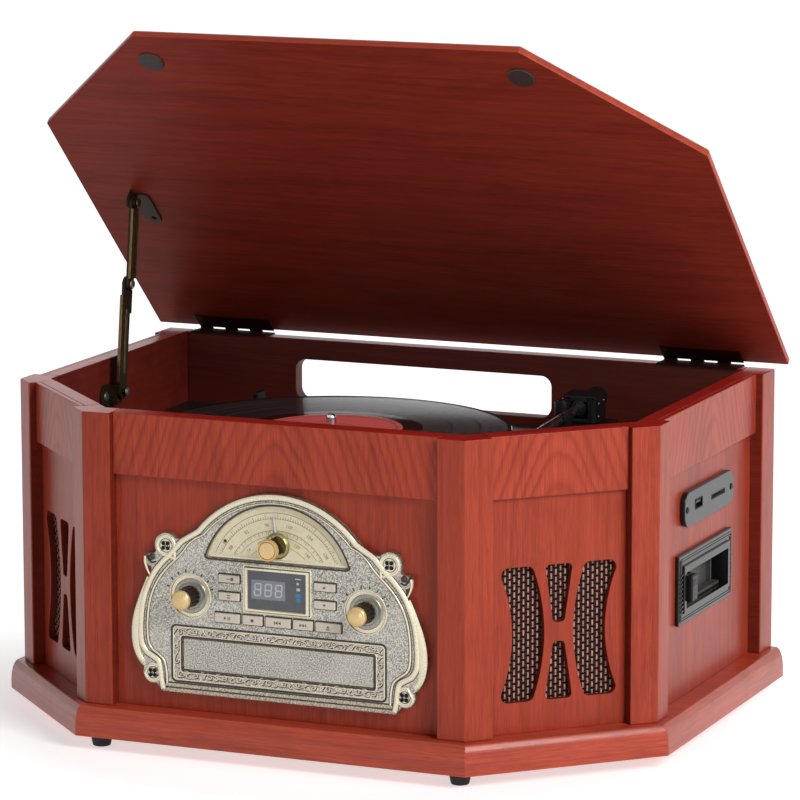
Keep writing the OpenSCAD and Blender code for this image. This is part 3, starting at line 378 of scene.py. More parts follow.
def moulded(lines, width, height, section=None, closed=False, sink=0.25, shift=0.0, taper=None):
    """Strips of one section swept along flat lines of (x, height) on the plate's face, as one object.

    The section is in shares of width and height; the strips are sunk a little into what carries them."""
    section = section or HALF_ROUND
    deselect()
    bpy.ops.curve.primitive_bezier_circle_add()
    profile = bpy.context.object
    profile.data.dimensions = "2D"
    profile.data.fill_mode = "NONE"
    profile.data.splines.clear()
    outline = [(width / 2 + shift, -sink)] + [(x * width + shift, y * height) for x, y in section]
    outline += [(-width / 2 + shift, -sink)]
    spline = profile.data.splines.new("POLY")
    spline.points.add(len(outline) - 1)
    for point, (x, y) in zip(spline.points, outline):
        point.co = (x * MM, y * MM, 0, 1)
    spline.use_cyclic_u = True
    deselect()
    bpy.ops.curve.primitive_bezier_curve_add()
    obj = bpy.context.object
    curve = obj.data
    curve.dimensions = "2D"
    curve.fill_mode = "NONE"
    curve.splines.clear()
    for line in lines:
        spline = curve.splines.new("POLY")
        spline.points.add(len(line) - 1)
        for i, (point, xy) in enumerate(zip(spline.points, line)):
            point.co = (xy[0] * MM, xy[1] * MM, 0, 1)
            point.radius = taper(i / (len(line) - 1)) if taper else 1
        spline.use_cyclic_u = closed
    curve.bevel_mode = "OBJECT"
    curve.bevel_object = profile
    curve.use_fill_caps = not closed
    activate(obj)
    bpy.ops.object.convert(target="MESH")
    bpy.data.objects.remove(profile)
    return cleaned(bpy.context.object, 1e-7)


def outlined(line, width, height, section=None):
    """A strip along one closed line."""
    return moulded([line], width, height, section, closed=True)


def on_plate(obj, x=PLATE_X, y=PLATE_FACE, z=0.0):
    """Stands a flat drawing up on the front: its X stays, its Y becomes height, its Z comes forward."""
    return moved(obj, (x, y, z), (math.pi / 2, 0, 0))


def on_side(obj, x):
    """Stands a flat drawing up on the right side: its X runs to the back."""
    return moved(obj, (x, 0, 0), (math.pi / 2, 0, math.pi / 2))


def mirrored(line):
    """A line on the other side of the plate, in the same sense of turning."""
    return [(-p[0], p[1]) for p in reversed(line)]


def lettered(text, size, x, y, turn):
    """Plain digits as a mesh in the flat drawing plane, in millimetres."""
    deselect()
    bpy.ops.object.text_add()
    obj = bpy.context.object
    obj.data.body = text
    obj.data.align_x = obj.data.align_y = "CENTER"
    obj.data.size = size * MM
    obj.data.extrude = 0.05 * MM
    obj.data.resolution_u = 2
    bpy.ops.object.convert(target="MESH")
    return moved(bpy.context.object, (x, y, 0), (0, 0, math.radians(turn)))


class Adding:
    """What the operators share: each adds its pieces and can be undone."""
    bl_options = {"REGISTER", "UNDO"}

    def execute(self, context):
        self.add(context.scene)
        return {"FINISHED"}


# ---- Finishes ----

class Finish:
    """One procedural material, put together node by node."""

    def __init__(self, name, constants):
        self.material = bpy.data.materials.new(name)
        self.material.use_nodes = True
        self.tree = self.material.node_tree
        self.shader = self.tree.nodes["Principled BSDF"]
        for socket, value in constants.items():
            self.shader.inputs[socket].default_value = value
        self.place = self.add("TexCoord").outputs["Object"]

    def add(self, kind, inputs=None, **settings):
        node = self.tree.nodes.new("ShaderNode" + kind)
        for name, value in settings.items():
            setattr(node, name, value)
        for key, value in (inputs or {}).items():
            self.link(value, node.inputs[key])
        return node

    def link(self, value, socket):
        if isinstance(value, bpy.types.NodeSocket):
            self.tree.links.new(value, socket)
        else:
            socket.default_value = value

    def math(self, operation, *values):
        return self.add("Math", dict(enumerate(values)), operation=operation).outputs[0]

    def scaled(self, vector, scale):
        return self.add("VectorMath", {0: vector, 1: scale}, operation="MULTIPLY").outputs[0]

    def millimetres(self, rotation=(0, 0, 0), location=(0, 0, 0)):
        return self.add("Mapping", {"Vector": self.place, "Scale": (1000,) * 3, "Location": location,
                                    "Rotation": [math.radians(a) for a in rotation]}).outputs[0]

    def noise(self, vector, detail=2.0, roughness=0.5, distortion=0.0):
        return self.add("TexNoise", {"Vector": vector, "Scale": 1.0, "Detail": detail,
                                     "Roughness": roughness, "Distortion": distortion}).outputs[0]

    def cells(self, vector, feature="F1"):
        return self.add("TexVoronoi", {"Vector": vector, "Scale": 1.0}, feature=feature).outputs["Distance"]

    def radius(self, vector):
        """How far a place lies from the upright axis."""
        return self.add("VectorMath", {0: self.scaled(vector, (1, 1, 0))}, operation="LENGTH").outputs["Value"]

    def ramp(self, value, *stops):
        node = self.add("ValToRGB", {0: value})
        band = node.color_ramp
        while len(band.elements) < len(stops):
            band.elements.new(0.5)
        for element, (position, shade) in zip(band.elements, stops):
            element.position = position
            element.color = (shade,) * 3 + (1,) if isinstance(shade, (int, float)) else tuple(shade) + (1,)
        return node.outputs[0]

    def mix(self, factor, first, second, blend="MIX"):
        def value(c):
            return c if isinstance(c, bpy.types.NodeSocket) else tuple(c)[:3] + (1,)
        node = self.add("Mix", {0: factor, 6: value(first), 7: value(second)}, data_type="RGBA", blend_type=blend)
        return node.outputs[2]

    def relief(self, height, depth, strength=0.5):
        """Bump with its depth in millimetres."""
        node = self.add("Bump", {"Strength": strength, "Distance": depth * MM, "Height": height})
        self.link(node.outputs[0], self.shader.inputs["Normal"])

    def done(self, colour, roughness=None):
        self.link(colour if isinstance(colour, bpy.types.NodeSocket) else tuple(colour)[:3] + (1,),
                  self.shader.inputs["Base Color"])
        if roughness is not None:
            self.link(roughness, self.shader.inputs["Roughness"])
        return self.material


def dimmed(colour, share):
    return tuple(c * share for c in tuple(colour)[:3])


def wood(name, light, dark, turn=(0, 0, 0), axes="xyz", centre=0.0, pitch=5.2, slope=0.03, pith=30.0,
         figure=0.75, wander=8.0, coat=0.05, seed=0.0, gloss=0.17, rough=0.0):
    """Stained and varnished wood. The axes say which turned coordinates run across, into and along the board."""
    f = Finish(name, {"Coat Weight": coat, "Coat Roughness": 0.18, "Specular IOR Level": gloss})
    split = f.add("SeparateXYZ", {0: f.millimetres(turn, (seed, seed * 0.7, seed * 1.3))}).outputs
    across, deep, along = (split["xyz".index(a)] for a in axes)
    across = f.math("SUBTRACT", across, centre)
    board = f.add("CombineXYZ", {0: across, 1: deep, 2: along}).outputs[0]
    sway = f.noise(f.scaled(board, (0.018, 0.018, 0.006)), 2)
    off = f.math("MULTIPLY_ADD", f.math("SUBTRACT", sway, 0.5), wander * 2, across)
    reach = f.math("SQRT", f.math("MULTIPLY_ADD", off, off, pith * pith))
    ripple = f.noise(f.scaled(board, (0.09, 0.09, 0.012)), 3)
    rings = f.math("ADD", f.math("MULTIPLY_ADD", along, slope, reach), f.math("MULTIPLY", ripple, 4.5))
    wide = f.noise(f.add("CombineXYZ", {0: f.math("MULTIPLY", rings, 0.035)}).outputs[0], 1)
    rings = f.math("MULTIPLY_ADD", wide, pitch * 2.2, rings)
    ring = f.ramp(f.math("FRACT", f.math("DIVIDE", rings, pitch)),
                  (0, 0.5), (0.14, 0.9), (0.3, 1), (0.58, 0.8), (0.84, 0.18), (0.93, 0.06), (1, 0.5))
    streak = f.noise(f.scaled(board, (0.42, 0.42, 0.006)), 2, 0.6)
    fibre = f.noise(f.scaled(board, (1.1, 1.1, 0.022)), 4, 0.65)
    pores = f.ramp(f.noise(f.scaled(board, (2.4, 2.4, 0.075)), 2, 0.5), (0.5, 1), (0.63, 0.0))
    drift = f.noise(f.scaled(board, (0.05, 0.05, 0.004)), 2)
    tone = f.mix(f.math("MULTIPLY", f.math("SUBTRACT", 1.0, ring), figure), light, dark)
    cloud = f.noise(f.scaled(board, (0.045, 0.045, 0.018)), 3, 0.6, 0.6)
    tone = f.mix(f.ramp(streak, (0.4, 0), (0.66, 0.26)), tone, dark)
    tone = f.mix(f.ramp(cloud, (0.42, 0), (0.68, 0.34)), tone, dark)
    tone = f.mix(f.ramp(fibre, (0.38, 0), (0.7, 0.34)), tone, dimmed(dark, 0.8))
    tone = f.mix(f.math("MULTIPLY", f.math("SUBTRACT", 1.0, pores), 0.35), tone, dimmed(dark, 0.5))
    tone = f.mix(f.ramp(drift, (0.3, 0), (0.7, 0.3)), tone, dimmed(light, 1.18))
    f.relief(f.math("MULTIPLY_ADD", pores, 0.7, fibre), 0.08, 0.3)
    return f.done(tone, f.ramp(fibre, (0.3, 0.27 + rough), (0.75, 0.4 + rough)))


def speckled(name, colour, second, scale=1.0, metallic=0.0, roughness=0.5, bump=0.05, strength=0.4,
             detail=3.0, spread=0.12, **more):
    """A moulded, cast or painted surface with a fine even texture and a slight change of tone."""
    f = Finish(name, {"Metallic": metallic, **more})
    p = f.millimetres()
    grain = f.noise(f.scaled(p, (scale,) * 3), detail, 0.6)
    cloud = f.noise(f.scaled(p, (0.06,) * 3), 2)
    tone = f.mix(f.ramp(grain, (0.38, 0), (0.66, 1)), colour, second)
    tone = f.mix(f.ramp(cloud, (0.35, 0), (0.75, 0.35)), tone, dimmed(colour, 0.8))
    f.relief(grain, bump, strength)
    return f.done(tone, f.ramp(grain, (0.3, max(roughness - spread, 0.02)), (0.7, roughness + spread)))


def brushed(name, colour, second, direction=(8, 0.05, 8), metallic=1.0, roughness=0.3, bump=0.02, **more):
    """Metal with fine lines along the axis that is scaled least."""
    f = Finish(name, {"Metallic": metallic, **more})
    lines = f.noise(f.scaled(f.millimetres(), direction), 3, 0.6)
    f.relief(lines, bump, 0.35)
    return f.done(f.mix(f.ramp(lines, (0.3, 0), (0.7, 1)), colour, second),
                  f.ramp(lines, (0.3, roughness - 0.06), (0.7, roughness + 0.1)))


def stippled(name, field):
    """Cast pewter with a hammered, sparkling field."""
    f = Finish(name, {"Metallic": 0.3})
    p = f.millimetres()
    pits = f.cells(f.scaled(p, (1.05,) * 3))
    fine = f.noise(f.scaled(p, (1.25,) * 3), 3, 0.7)
    cloud = f.noise(f.scaled(p, (0.035,) * 3), 2)
    tone = f.mix(f.ramp(fine, (0.42, 0), (0.58, 1)), dimmed(field, 0.3), dimmed(field, 1.3))
    tone = f.mix(f.ramp(pits, (0.08, 0.7), (0.34, 0)), tone, dimmed(field, 0.22))
    tone = f.mix(f.ramp(cloud, (0.4, 0), (0.65, 0.25)), tone, dimmed(field, 1.2))
    f.relief(f.math("MULTIPLY_ADD", fine, 0.8, pits), 0.3, 0.7)
    return f.done(tone, f.ramp(fine, (0.3, 0.3), (0.7, 0.5)))


def ringed(name, colour, pitch, metallic=0.0):
    """Turned or moulded rings about the spindle's axis."""
    f = Finish(name, {"Metallic": metallic})
    p = f.millimetres(location=(-DECK_X, -DECK_Y, 0))
    radius = f.radius(p)
    wave = f.math("SINE", f.math("MULTIPLY", radius, math.tau / pitch))
    grain = f.noise(f.scaled(p, (0.9,) * 3), 2)
    f.relief(wave, 0.06, 0.4)
    return f.done(f.mix(f.math("MULTIPLY_ADD", wave, 0.25, grain), colour, dimmed(colour, 0.6)),
                  f.ramp(grain, (0.3, 0.3), (0.7, 0.5)))


def board_finish(name):
    """A green circuit board with paler tracks."""
    f = Finish(name, {})
    p = f.millimetres()
    tracks = f.cells(f.scaled(p, (0.16, 0.16, 0.28)), "DISTANCE_TO_EDGE")
    tone = f.mix(f.ramp(tracks, (0.03, 1), (0.06, 0)), srgb(26, 86, 52), srgb(70, 138, 88))
    f.relief(tracks, 0.05, 0.3)
    return f.done(tone, 0.4)


def record_finish(name):
    """Grooved vinyl with painted sheen: random bands of grooves lightened and the smooth rings darkened in colour,
    standing for the light the grooves catch and the dark the smooth rings mirror.
    """
    deck = bpy.context.scene.music_deck
    f = Finish(name, {"Specular IOR Level": 0.5})
    p = f.millimetres(location=(-DECK_X, -DECK_Y, 0))
    radius = f.radius(p)
    bands = f.noise(f.add("CombineXYZ", {0: f.math("MULTIPLY", radius, 0.21)}).outputs[0], 3, 0.7)
    groove = f.math("SINE", f.math("MULTIPLY", radius, math.tau / 0.9))
    # Painted sheen: the grooved bands are lightened up to 2.6 times the vinyl colour.
    tone = f.mix(f.ramp(bands, (0.42, 0), (0.56, 1)), dimmed(deck.vinyl, 0.4), dimmed(deck.vinyl, 2.6))
    smooth_ring_shade_and_polish = f.ramp(f.math("DIVIDE", radius, RECORD_RADIUS),
                         (0.4, 1), (0.5, 1), (0.515, 0.0), (0.66, 0.0), (0.665, 0.8), (0.675, 0.0),
                         (0.82, 0.0), (0.825, 0.8), (0.835, 0.0), (0.97, 0.0), (0.985, 1))
    # Painted reflection: the smooth rings are darkened to 0.2 of the vinyl colour; their low roughness is real
    # polish.
    tone = f.mix(f.math("MULTIPLY", smooth_ring_shade_and_polish, 0.9), tone, dimmed(deck.vinyl, 0.2))
    f.relief(groove, 0.03, 0.2)
    grooved, polished = (0.14,) * 3, (0.06,) * 3
    return f.done(tone, f.mix(smooth_ring_shade_and_polish, grooved, polished))


def label_finish(name):
    """The paper label: plain bands of two reds round the hole."""
    deck = bpy.context.scene.music_deck
    f = Finish(name, {})
    p = f.millimetres(location=(-DECK_X, -DECK_Y, 0))
    radius = f.radius(p)
    paper = f.noise(f.scaled(p, (1.4,) * 3), 3)
    bands = f.ramp(f.math("DIVIDE", radius, LABEL_RADIUS), (0.0, 0.2), (0.3, 0.2), (0.31, 1), (0.34, 1), (0.35, 0),
                   (0.88, 0), (0.89, 1), (0.92, 1), (0.93, 0.15))
    tone = f.mix(bands, deck.label, dimmed(deck.label, 0.55))
    f.relief(paper, 0.03, 0.3)
    return f.done(f.mix(f.math("MULTIPLY", paper, 0.3), tone, dimmed(deck.label, 1.2)), 0.55)


def strand_finish(name, colour, along):
    """Spun thread with a slight twist."""
    f = Finish(name, {"Sheen Weight": 0.1 if along == "Z" else 0.0, "Specular IOR Level": 0.1})
    twist = f.noise(f.scaled(f.millimetres(), (1.2, 1.2, 2.2) if along == "Z" else (2.2, 2.2, 1.2)), 3, 0.7)
    worn = f.noise(f.scaled(f.millimetres(), (0.45,) * 3), 2, 0.6)
    f.relief(twist, 0.12, 0.6)
    tone = f.mix(f.ramp(twist, (0.35, 0), (0.7, 1)), dimmed(colour, 0.45), dimmed(colour, 1.25))
    return f.done(f.mix(f.ramp(worn, (0.45, 0), (0.65, 0.6)), tone, dimmed(colour, 0.15)), 0.8)


# Finishes by name: the maker, its colours and its other values. A colour is 0 to 255 as a screen shows it, or a
# setting's name with a share of its brightness.
FINISHES = {
    "pewter_field": (stippled, ("field", 1)),
    "pewter_bead": (speckled, ("bead", 1), ("bead", 0.8), 1.6, 0.35, 0.28, 0.03),
    "pewter_scroll": (speckled, ("bead", 1), ("field", 0.95), 1.6, 0.35, 0.36),
    "patina": (speckled, ("patina", 1), ("patina", 1.8), 1.2, 0.25, 0.5, 0.04),
    # A darkened copy of the beads for the plate's edge faces: painted shade.
    "aged_edge": (speckled, ("bead", 0.45), ("patina", 1), 0.5, 0.6, 0.4, 0.05),
    "button_cream": (speckled, (238, 229, 212), (214, 204, 188), 1.5, 0.05, 0.42),
    "button_mark": (speckled, (112, 100, 86), (90, 80, 70), 2, 0, 0.6),
    "gold_cap": (speckled, ("gold", 1), ("gold", 0.92), 0.25, 0.45, 0.26, 0.01),
    "knob_bronze": (brushed, ("bronze", 1), ("bronze", 0.35), (4, 0.1, 4), 0.9, 0.26),
    "knob_base": (speckled, (176, 168, 110), (120, 100, 60), 0.6, 0.7, 0.3),
    "dial_paper": (speckled, ("dial", 1), ("dial", 0.9), 0.35, 0, 0.5, 0.02, 0.2,
                   {"Coat Weight": 0.5, "Coat Roughness": 0.1}),
    "dial_ink": (speckled, (150, 134, 92), (120, 106, 74), 2, 0, 0.6),
    "pointer": (brushed, (214, 214, 216), (170, 170, 176), (2, 2, 0.1), 0.6, 0.3),
    "display_glass": (speckled, (64, 66, 74), (52, 54, 62), 0.15, 0, 0.2, 0.0, 0.0,
                      {"Coat Weight": 0.6, "Coat Roughness": 0.05}),
    "display_block": (speckled, (146, 146, 156), (134, 134, 146), 0.6, 0, 0.4),
    "display_digit": (speckled, (212, 212, 222), (190, 190, 204), 0.8, 0, 0.4),
    "display_blue": (speckled, (60, 150, 196), (40, 110, 160), 0.8, 0, 0.4),
    "stay_bronze": (brushed, (54, 43, 26), (30, 23, 14), (2, 1.5, 0.15), 0.15, 0.42, 0.03,
                    {"Specular IOR Level": 0.15}),
    # A lighter copy of the stay's bronze for its edge flanges and upper pin: painted highlight.
    "stay_light": (brushed, (128, 100, 66), (84, 64, 42), (2, 1.5, 0.15), 0.8, 0.3),
    # The hinges take the colour of the lid's wood in shade, so that their leaves merge with it: painted shade.
    "hinge_bronze": (brushed, (46, 15, 11), (34, 11, 9), (0.1, 2, 2), 0.0, 0.6, {"Specular IOR Level": 0.08}),
    "dish_silver": (speckled, (178, 174, 164), (112, 106, 96), 1.2, 0.4, 0.3, 0.04),
    "black_rubber": (speckled, (26, 25, 25), (40, 38, 37), 0.9, 0, 0.75, 0.05),
    "bumper_rubber": (speckled, (52, 32, 28), (34, 24, 22), 0.9, 0, 0.6, 0.05),
    "deck_black": (speckled, (30, 28, 29), (20, 19, 20), 0.7, 0, 0.45, 0.04),
    "arm_plastic": (speckled, ("plastic", 1), ("plastic", 1.7), 1.4, 0, 0.4, 0.03, {"Specular IOR Level": 0.25}),
    "arm_light": (speckled, (120, 116, 112), (90, 86, 82), 0.9, 0.4, 0.35, 0.02),
    "bright_steel": (brushed, ("metal", 1), ("metal", 0.8), (6, 0.2, 6), 1, 0.22),
    "screw_steel": (brushed, (190, 186, 176), (140, 134, 122), (3, 3, 0.4), 0.9, 0.3),
    "turned_aluminium": (ringed, (176, 178, 182), 0.9, 0.9),
    "pulley_brass": (brushed, (196, 160, 92), (150, 116, 60), (3, 3, 0.3), 0.95, 0.25),
    "mat_rubber": (ringed, (34, 34, 36), 1.6),
    "gunmetal": (speckled, (34, 34, 33), (24, 24, 23), 1.1, 0.3, 0.17, 0.03,
                 {"Specular IOR Level": 0.3, "Coat Weight": 0.1, "Coat Roughness": 0.1}),
    "slot_black": (speckled, (14, 13, 14), (22, 21, 22), 0.8, 0, 0.5, {"Specular IOR Level": 0.15}),
    "mechanism": (speckled, (84, 82, 80), (66, 64, 62), 0.6, 0.1, 0.45, 0.04, {"Specular IOR Level": 0.25}),
    "plate_zinc": (brushed, (184, 180, 172), (140, 136, 130), (0.1, 3, 3), 0.85, 0.35),
    "board_green": (board_finish,),
    "core_iron": (brushed, (92, 88, 84), (58, 54, 52), (0.05, 0.05, 2.5), 0.8, 0.45),
    "magnet_wire": (brushed, (186, 110, 60), (130, 66, 34), (0.2, 0.2, 3), 0.8, 0.35),
    "speaker_paper": (ringed, (44, 42, 42), 1.2),
    # A near-black sheet behind the speaker weave: painted shade for the dark behind the cloth.
    "cloth_lining": (speckled, (26, 10, 10), (17, 7, 7), 1.2, 0, 0.8, 0.05),
    "port_white": (speckled, (66, 64, 62), (52, 50, 48), 1.2, 0, 0.45, 0.02),
    "key_black": (speckled, (24, 23, 24), (16, 15, 16), 1.0, 0, 0.35, 0.03, {"Specular IOR Level": 0.2}),
    "socket_black": (speckled, (30, 30, 31), (22, 22, 23), 0.9, 0, 0.5, 0.04),
    "ring_white": (speckled, (222, 220, 214), (200, 198, 192), 1.4, 0, 0.4, 0.02),
    "ring_red": (speckled, (176, 34, 30), (140, 26, 24), 1.4, 0, 0.4, 0.02),
    "raw_board": (wood, (176, 140, 102), (140, 104, 72), {"axes": "yzx", "pitch": 7, "slope": 0.04, "coat": 0.0}),
}
_made = {}


def colour_of(value):
    """A colour of the table in Blender's linear values."""
    if isinstance(value[0], str):
        name, share = value
        scene = bpy.context.scene
        group = scene.music_plate if hasattr(scene.music_plate, name) else scene.music_deck
        return dimmed(getattr(group, name), share)
    return srgb(*value)


def finish(name):
    """The object's finishes by name, each made once."""
    if name not in _made:
        maker, *values = FINISHES[name]
        more = values.pop() if values and isinstance(values[-1], dict) else {}
        colours = [colour_of(value) for value in values[:2] if isinstance(value, tuple)]
        _made[name] = maker(name, *colours, *values[len(colours):], **more)
    return _made[name]


# ---- Cabinet ----

WALL_TURN = {"front": 0, "back": 0, "side": -90, "slant_right": -SLANT_TURN, "slant_left": SLANT_TURN}
WALLS = list(WALL_TURN)


def wall_reach(point):
    """How far a point in millimetres lies outside each wall's outline."""
    return {"front": -point.y - HALF_DEPTH, "back": point.y - HALF_DEPTH, "side": abs(point.x) - HALF_WIDTH,
            "slant_right" if point.x > 0 else "slant_left": (abs(point.x) - point.y - SLANT_REACH) / math.sqrt(2)}


def wall_of(point):
    """The wall that a point lies nearest to."""
    reach = wall_reach(point)
    return max(reach, key=reach.get)


def wall_chooser(point, _normal):
    return WALLS.index(wall_of(point))


def rim_or_inside(point, normal, outside):
    """Which wood a face gets: after the outside's woods come the inner one, a darker copy painted as shade, and the
    rim's; None for outside.
    """
    side, half, wall = math.copysign(1, point.x), math.sqrt(0.5), wall_of(point)
    out = {"front": (0, -1), "back": (0, 1), "side": (side, 0), "slant_right": (half, -half),
           "slant_left": (-half, -half)}
    if normal.z > 0.7 and point.z > RIM_Z:
        return outside + 1
    ahead = Vector(out[wall]).dot(normal.xy)
    deep = -wall_reach(point)[wall] > (1.5 if wall == "back" else PANEL_BACK)
    return outside if ahead < -0.5 or deep and ahead < 0.5 else None


def inner_chooser(point, normal):
    """The wall's wood outside, the darker inside wood as painted shade, and the rim's on top."""
    inside = rim_or_inside(point, normal, len(WALLS))
    return wall_chooser(point, normal) if inside is None else inside


def post_chooser(point, normal):
    return rim_or_inside(point, normal, 1) or 0


def wall_woods(kind, shade=1, pitch=1, **settings):
    """One wood for each wall, turned along it; a shade share other than 1 darkens or lightens its light colour as
    painted shade or light.
    """
    cabinet = bpy.context.scene.music_cabinet
    middle = {"front": 0, "back": 0, "side": 49, "slant_right": 48.1, "slant_left": -48.1}
    settings = {"figure": 0.7, "pitch": cabinet.ring_pitch / MM * pitch, **settings}
    return [wood(f"cherry_{kind}_{wall}", dimmed(cabinet.light, shade), cabinet.dark, (0, 0, turn),
                 centre=middle[wall], **settings) for wall, turn in WALL_TURN.items()]


class MUSIC_OT_cabinet(Adding, bpy.types.Operator):
    """Adds the cabinet's boards with rounded edges: plinth, posts, panels and rails"""
    bl_idname = "music.cabinet"
    bl_label = "Cabinet"

    def add(self, scene):
        cabinet = scene.music_cabinet
        edge = cabinet.edge_round / MM
        # The inside woods are darker copies of the lid colours, painted shade for the dim inside: 0.66 on the inner
        # faces, 0.4 on the back wall's.
        inner, shaded_back_inside = (wood(name, dimmed(cabinet.lid_light, shade), dimmed(cabinet.lid_dark, shade), axes="zyx",
                              pitch=7, slope=0.05, figure=0.3, coat=0.0, gloss=gloss, rough=0.2)
                         for name, shade, gloss in (("cherry_inside", 0.66, 0.1), ("cherry_back_inside", 0.4, 0.3)))
        rim = wood("cherry_rim", cabinet.rim, dimmed(cabinet.rim, 0.55), axes="yzx", pitch=4, slope=0.02, figure=0.3,
                   coat=0.3)
        # Painted shade and light: the panels take 0.83 of the cherry for the shade of their recess under the rails,
        # the plinth 1.12 for its brighter look, the posts 0.86 for their darker look.
        panels = wall_woods("panel", slope=0.012, pith=60, figure=0.3, wander=14, shade=0.83) + [inner, rim]
        rails = wall_woods("rail", slope=0.34, pith=18, figure=0.62, pitch=1.3, wander=5) + [inner, rim]
        boards = wall_woods("plinth", axes="zyx", slope=0.02, pith=40, figure=0.22, coat=0.4, shade=1.12)
        post = wood("cherry_post", dimmed(cabinet.light, 0.86), dimmed(cabinet.dark, 0.95), figure=0.2, pitch=3.6,
                    slope=0.01, pith=80, wander=12, seed=31)
        for node in ("front_panel", "side_panel_left", "side_panel_right", "speaker_panels"):
            softened(node, "cabinet", panels, edge * 0.6, chooser=inner_chooser)
        softened("back_panel", "cabinet", panels[:-2] + [shaded_back_inside, rim], edge, chooser=inner_chooser)
        softened("top_rails", "cabinet", rails, edge, chooser=inner_chooser)
        softened("corner_posts", "cabinet", [post, inner, rim], edge, chooser=post_chooser)
        softened("plinth", "cabinet", boards, edge * 0.5, chooser=wall_chooser, angle=30)
        softened("rubber_feet", "cabinet", "black_rubber", 0.8)


class MUSIC_OT_lid(Adding, bpy.types.Operator):
    """Adds the lid and its bumpers"""
    bl_idname = "music.lid"
    bl_label = "Lid"

    def add(self, scene):
        cabinet = scene.music_cabinet
        lie = {"turn": (LID_OPEN, 0, 0), "axes": "yzx", "centre": -60}
        # The underside takes the darker lid colours as painted shade; the top takes the cabinet's cherry.
        under = wood("cherry_lid_under", cabinet.lid_light, cabinet.lid_dark, pitch=10, slope=0.035, pith=60,
                     figure=0.3, wander=22, coat=0.0, gloss=0.08, rough=0.12, **lie)
        over = wood("cherry_lid_top", cabinet.light, cabinet.dark, pitch=9, slope=0.03, pith=70, figure=0.35,
                    wander=18, **lie)
        tilt = Matrix.Rotation(math.radians(LID_OPEN), 3, "X")
        softened("lid", "lid", [under, over], 0.8, chooser=lambda p, n: 0 if (tilt @ n).z < -0.6 else 1)
        softened("lid_bumpers", "lid", "bumper_rubber", 0.5, 3)


# ---- Speakers ----

def strand(length, pitch, width, depth, wave, phase, level):
    """One thread of the cloth in the wall's flat drawing plane, waving over and under the others."""
    steps = max(int(length / pitch), 1) * 4
    deselect()
    bpy.ops.mesh.primitive_cylinder_add(vertices=5, radius=0.5 * MM, depth=length * MM, end_fill_type="NGON")
    obj = bpy.context.object
    bpy.ops.object.mode_set(mode="EDIT")
    bpy.ops.mesh.select_mode(type="EDGE")
    bpy.ops.mesh.select_all(action="DESELECT")
    bpy.ops.object.mode_set(mode="OBJECT")
    for edge in obj.data.edges:
        first, last = (obj.data.vertices[i].co.z for i in edge.vertices)
        edge.select = abs(first - last) > 0.5 * length * MM
    bpy.ops.object.mode_set(mode="EDIT")
    bpy.ops.mesh.subdivide(number_cuts=steps - 1)
    bpy.ops.mesh.select_mode(type="VERT")
    bpy.ops.object.mode_set(mode="OBJECT")
    for vertex in obj.data.vertices:
        x, y, z = vertex.co / MM
        lift = wave * math.cos(math.pi * z / pitch + phase)
        thin = 1 - 0.25 * math.sin(math.pi * z / pitch + phase) ** 2
        vertex.co = Vector((x * width * thin, z, y * depth * thin + lift)) * MM
    if level:
        for vertex in obj.data.vertices:
            vertex.co = Vector((vertex.co.y, -vertex.co.x, vertex.co.z))
    return cleaned(obj)


def strand_rows(length, cross_pitch, count, pitch, width, depth, wave, level):
    """Strands side by side, each half a wave from the next."""
    rows = []
    for parity in (0, 1):
        number = count // 2 + (count % 2 if parity == 0 else 0)
        first = strand(length, cross_pitch, width, depth, wave, math.pi * parity, level)
        start = (-(count - 1) / 2 + parity) * pitch
        sideways = Vector((0, 1, 0) if level else (1, 0, 0))
        rows.append(repeated(moved(first, sideways * start), number, sideways * 2 * pitch))
    return joined(rows)


class MUSIC_OT_speakers(Adding, bpy.types.Operator):
    """Adds the woven cloths behind the sound slots, and the speakers"""
    bl_idname = "music.speakers"
    bl_label = "Speaker cloths"

    def add(self, scene):
        speaker = scene.music_speaker
        pitch, weft_pitch = speaker.pitch / MM, speaker.weft_pitch / MM
        width, height = 90.5, 93.5
        warp = strand_finish("speaker_warp", speaker.strand, "Z")
        weft = strand_finish("speaker_weft", speaker.weft, "X")
        # An odd number of each keeps the crossings in step
        warp_count, weft_count = (int(width / pitch) - 1) | 1, (int(height / weft_pitch) - 1) | 1
        cloths = []
        for side in (1, -1):
            upright_strands = strand_rows(height, weft_pitch, warp_count, pitch, pitch * 0.42, 0.44, 0.19, False)
            level_strands = strand_rows(width, pitch, weft_count, weft_pitch, weft_pitch * 0.62, 0.34, -0.19, True)
            # A near-black sheet behind the strands stands for the shade behind the cloth: painted shade.
            shade_backing = box((0, 0, -0.38), (91, 94, 0.08))
            cloth = joined([paint(upright_strands, warp), paint(level_strands, weft), paint(shade_backing, "cloth_lining")])
            wall = Matrix.Rotation(math.radians(side * SLANT_TURN), 3, "Z")
            cloth.rotation_euler = (math.pi / 2, 0, math.radians(side * SLANT_TURN))
            cloth.location = (Vector((side * SPEAKER_X, SPEAKER_Y, 0))
                              + wall @ Vector((side * SPEAKER_SHIFT, 14.38, SPEAKER_Z))) * MM
            cloths.append(settle(cloth))
        place(joined(cloths), "speaker_weave", "cabinet", ["speaker_cloths"])
        softened("speaker_drivers", "cabinet", ["core_iron", "speaker_paper"], 0, chooser=driver_chooser)


def driver_chooser(point, _normal):
    """Paper within the basket's rim in front, metal elsewhere."""
    from_cloth = Vector((abs(point.x) - SPEAKER_X, point.y - SPEAKER_Y, 0))
    local = Matrix.Rotation(math.radians(-SLANT_TURN), 3, "Z") @ from_cloth
    reach = math.hypot(local.x - SPEAKER_SHIFT, point.z - SPEAKER_Z)
    return 1 if reach < 38 and local.y < 26 else 0


# ---- Turntable ----

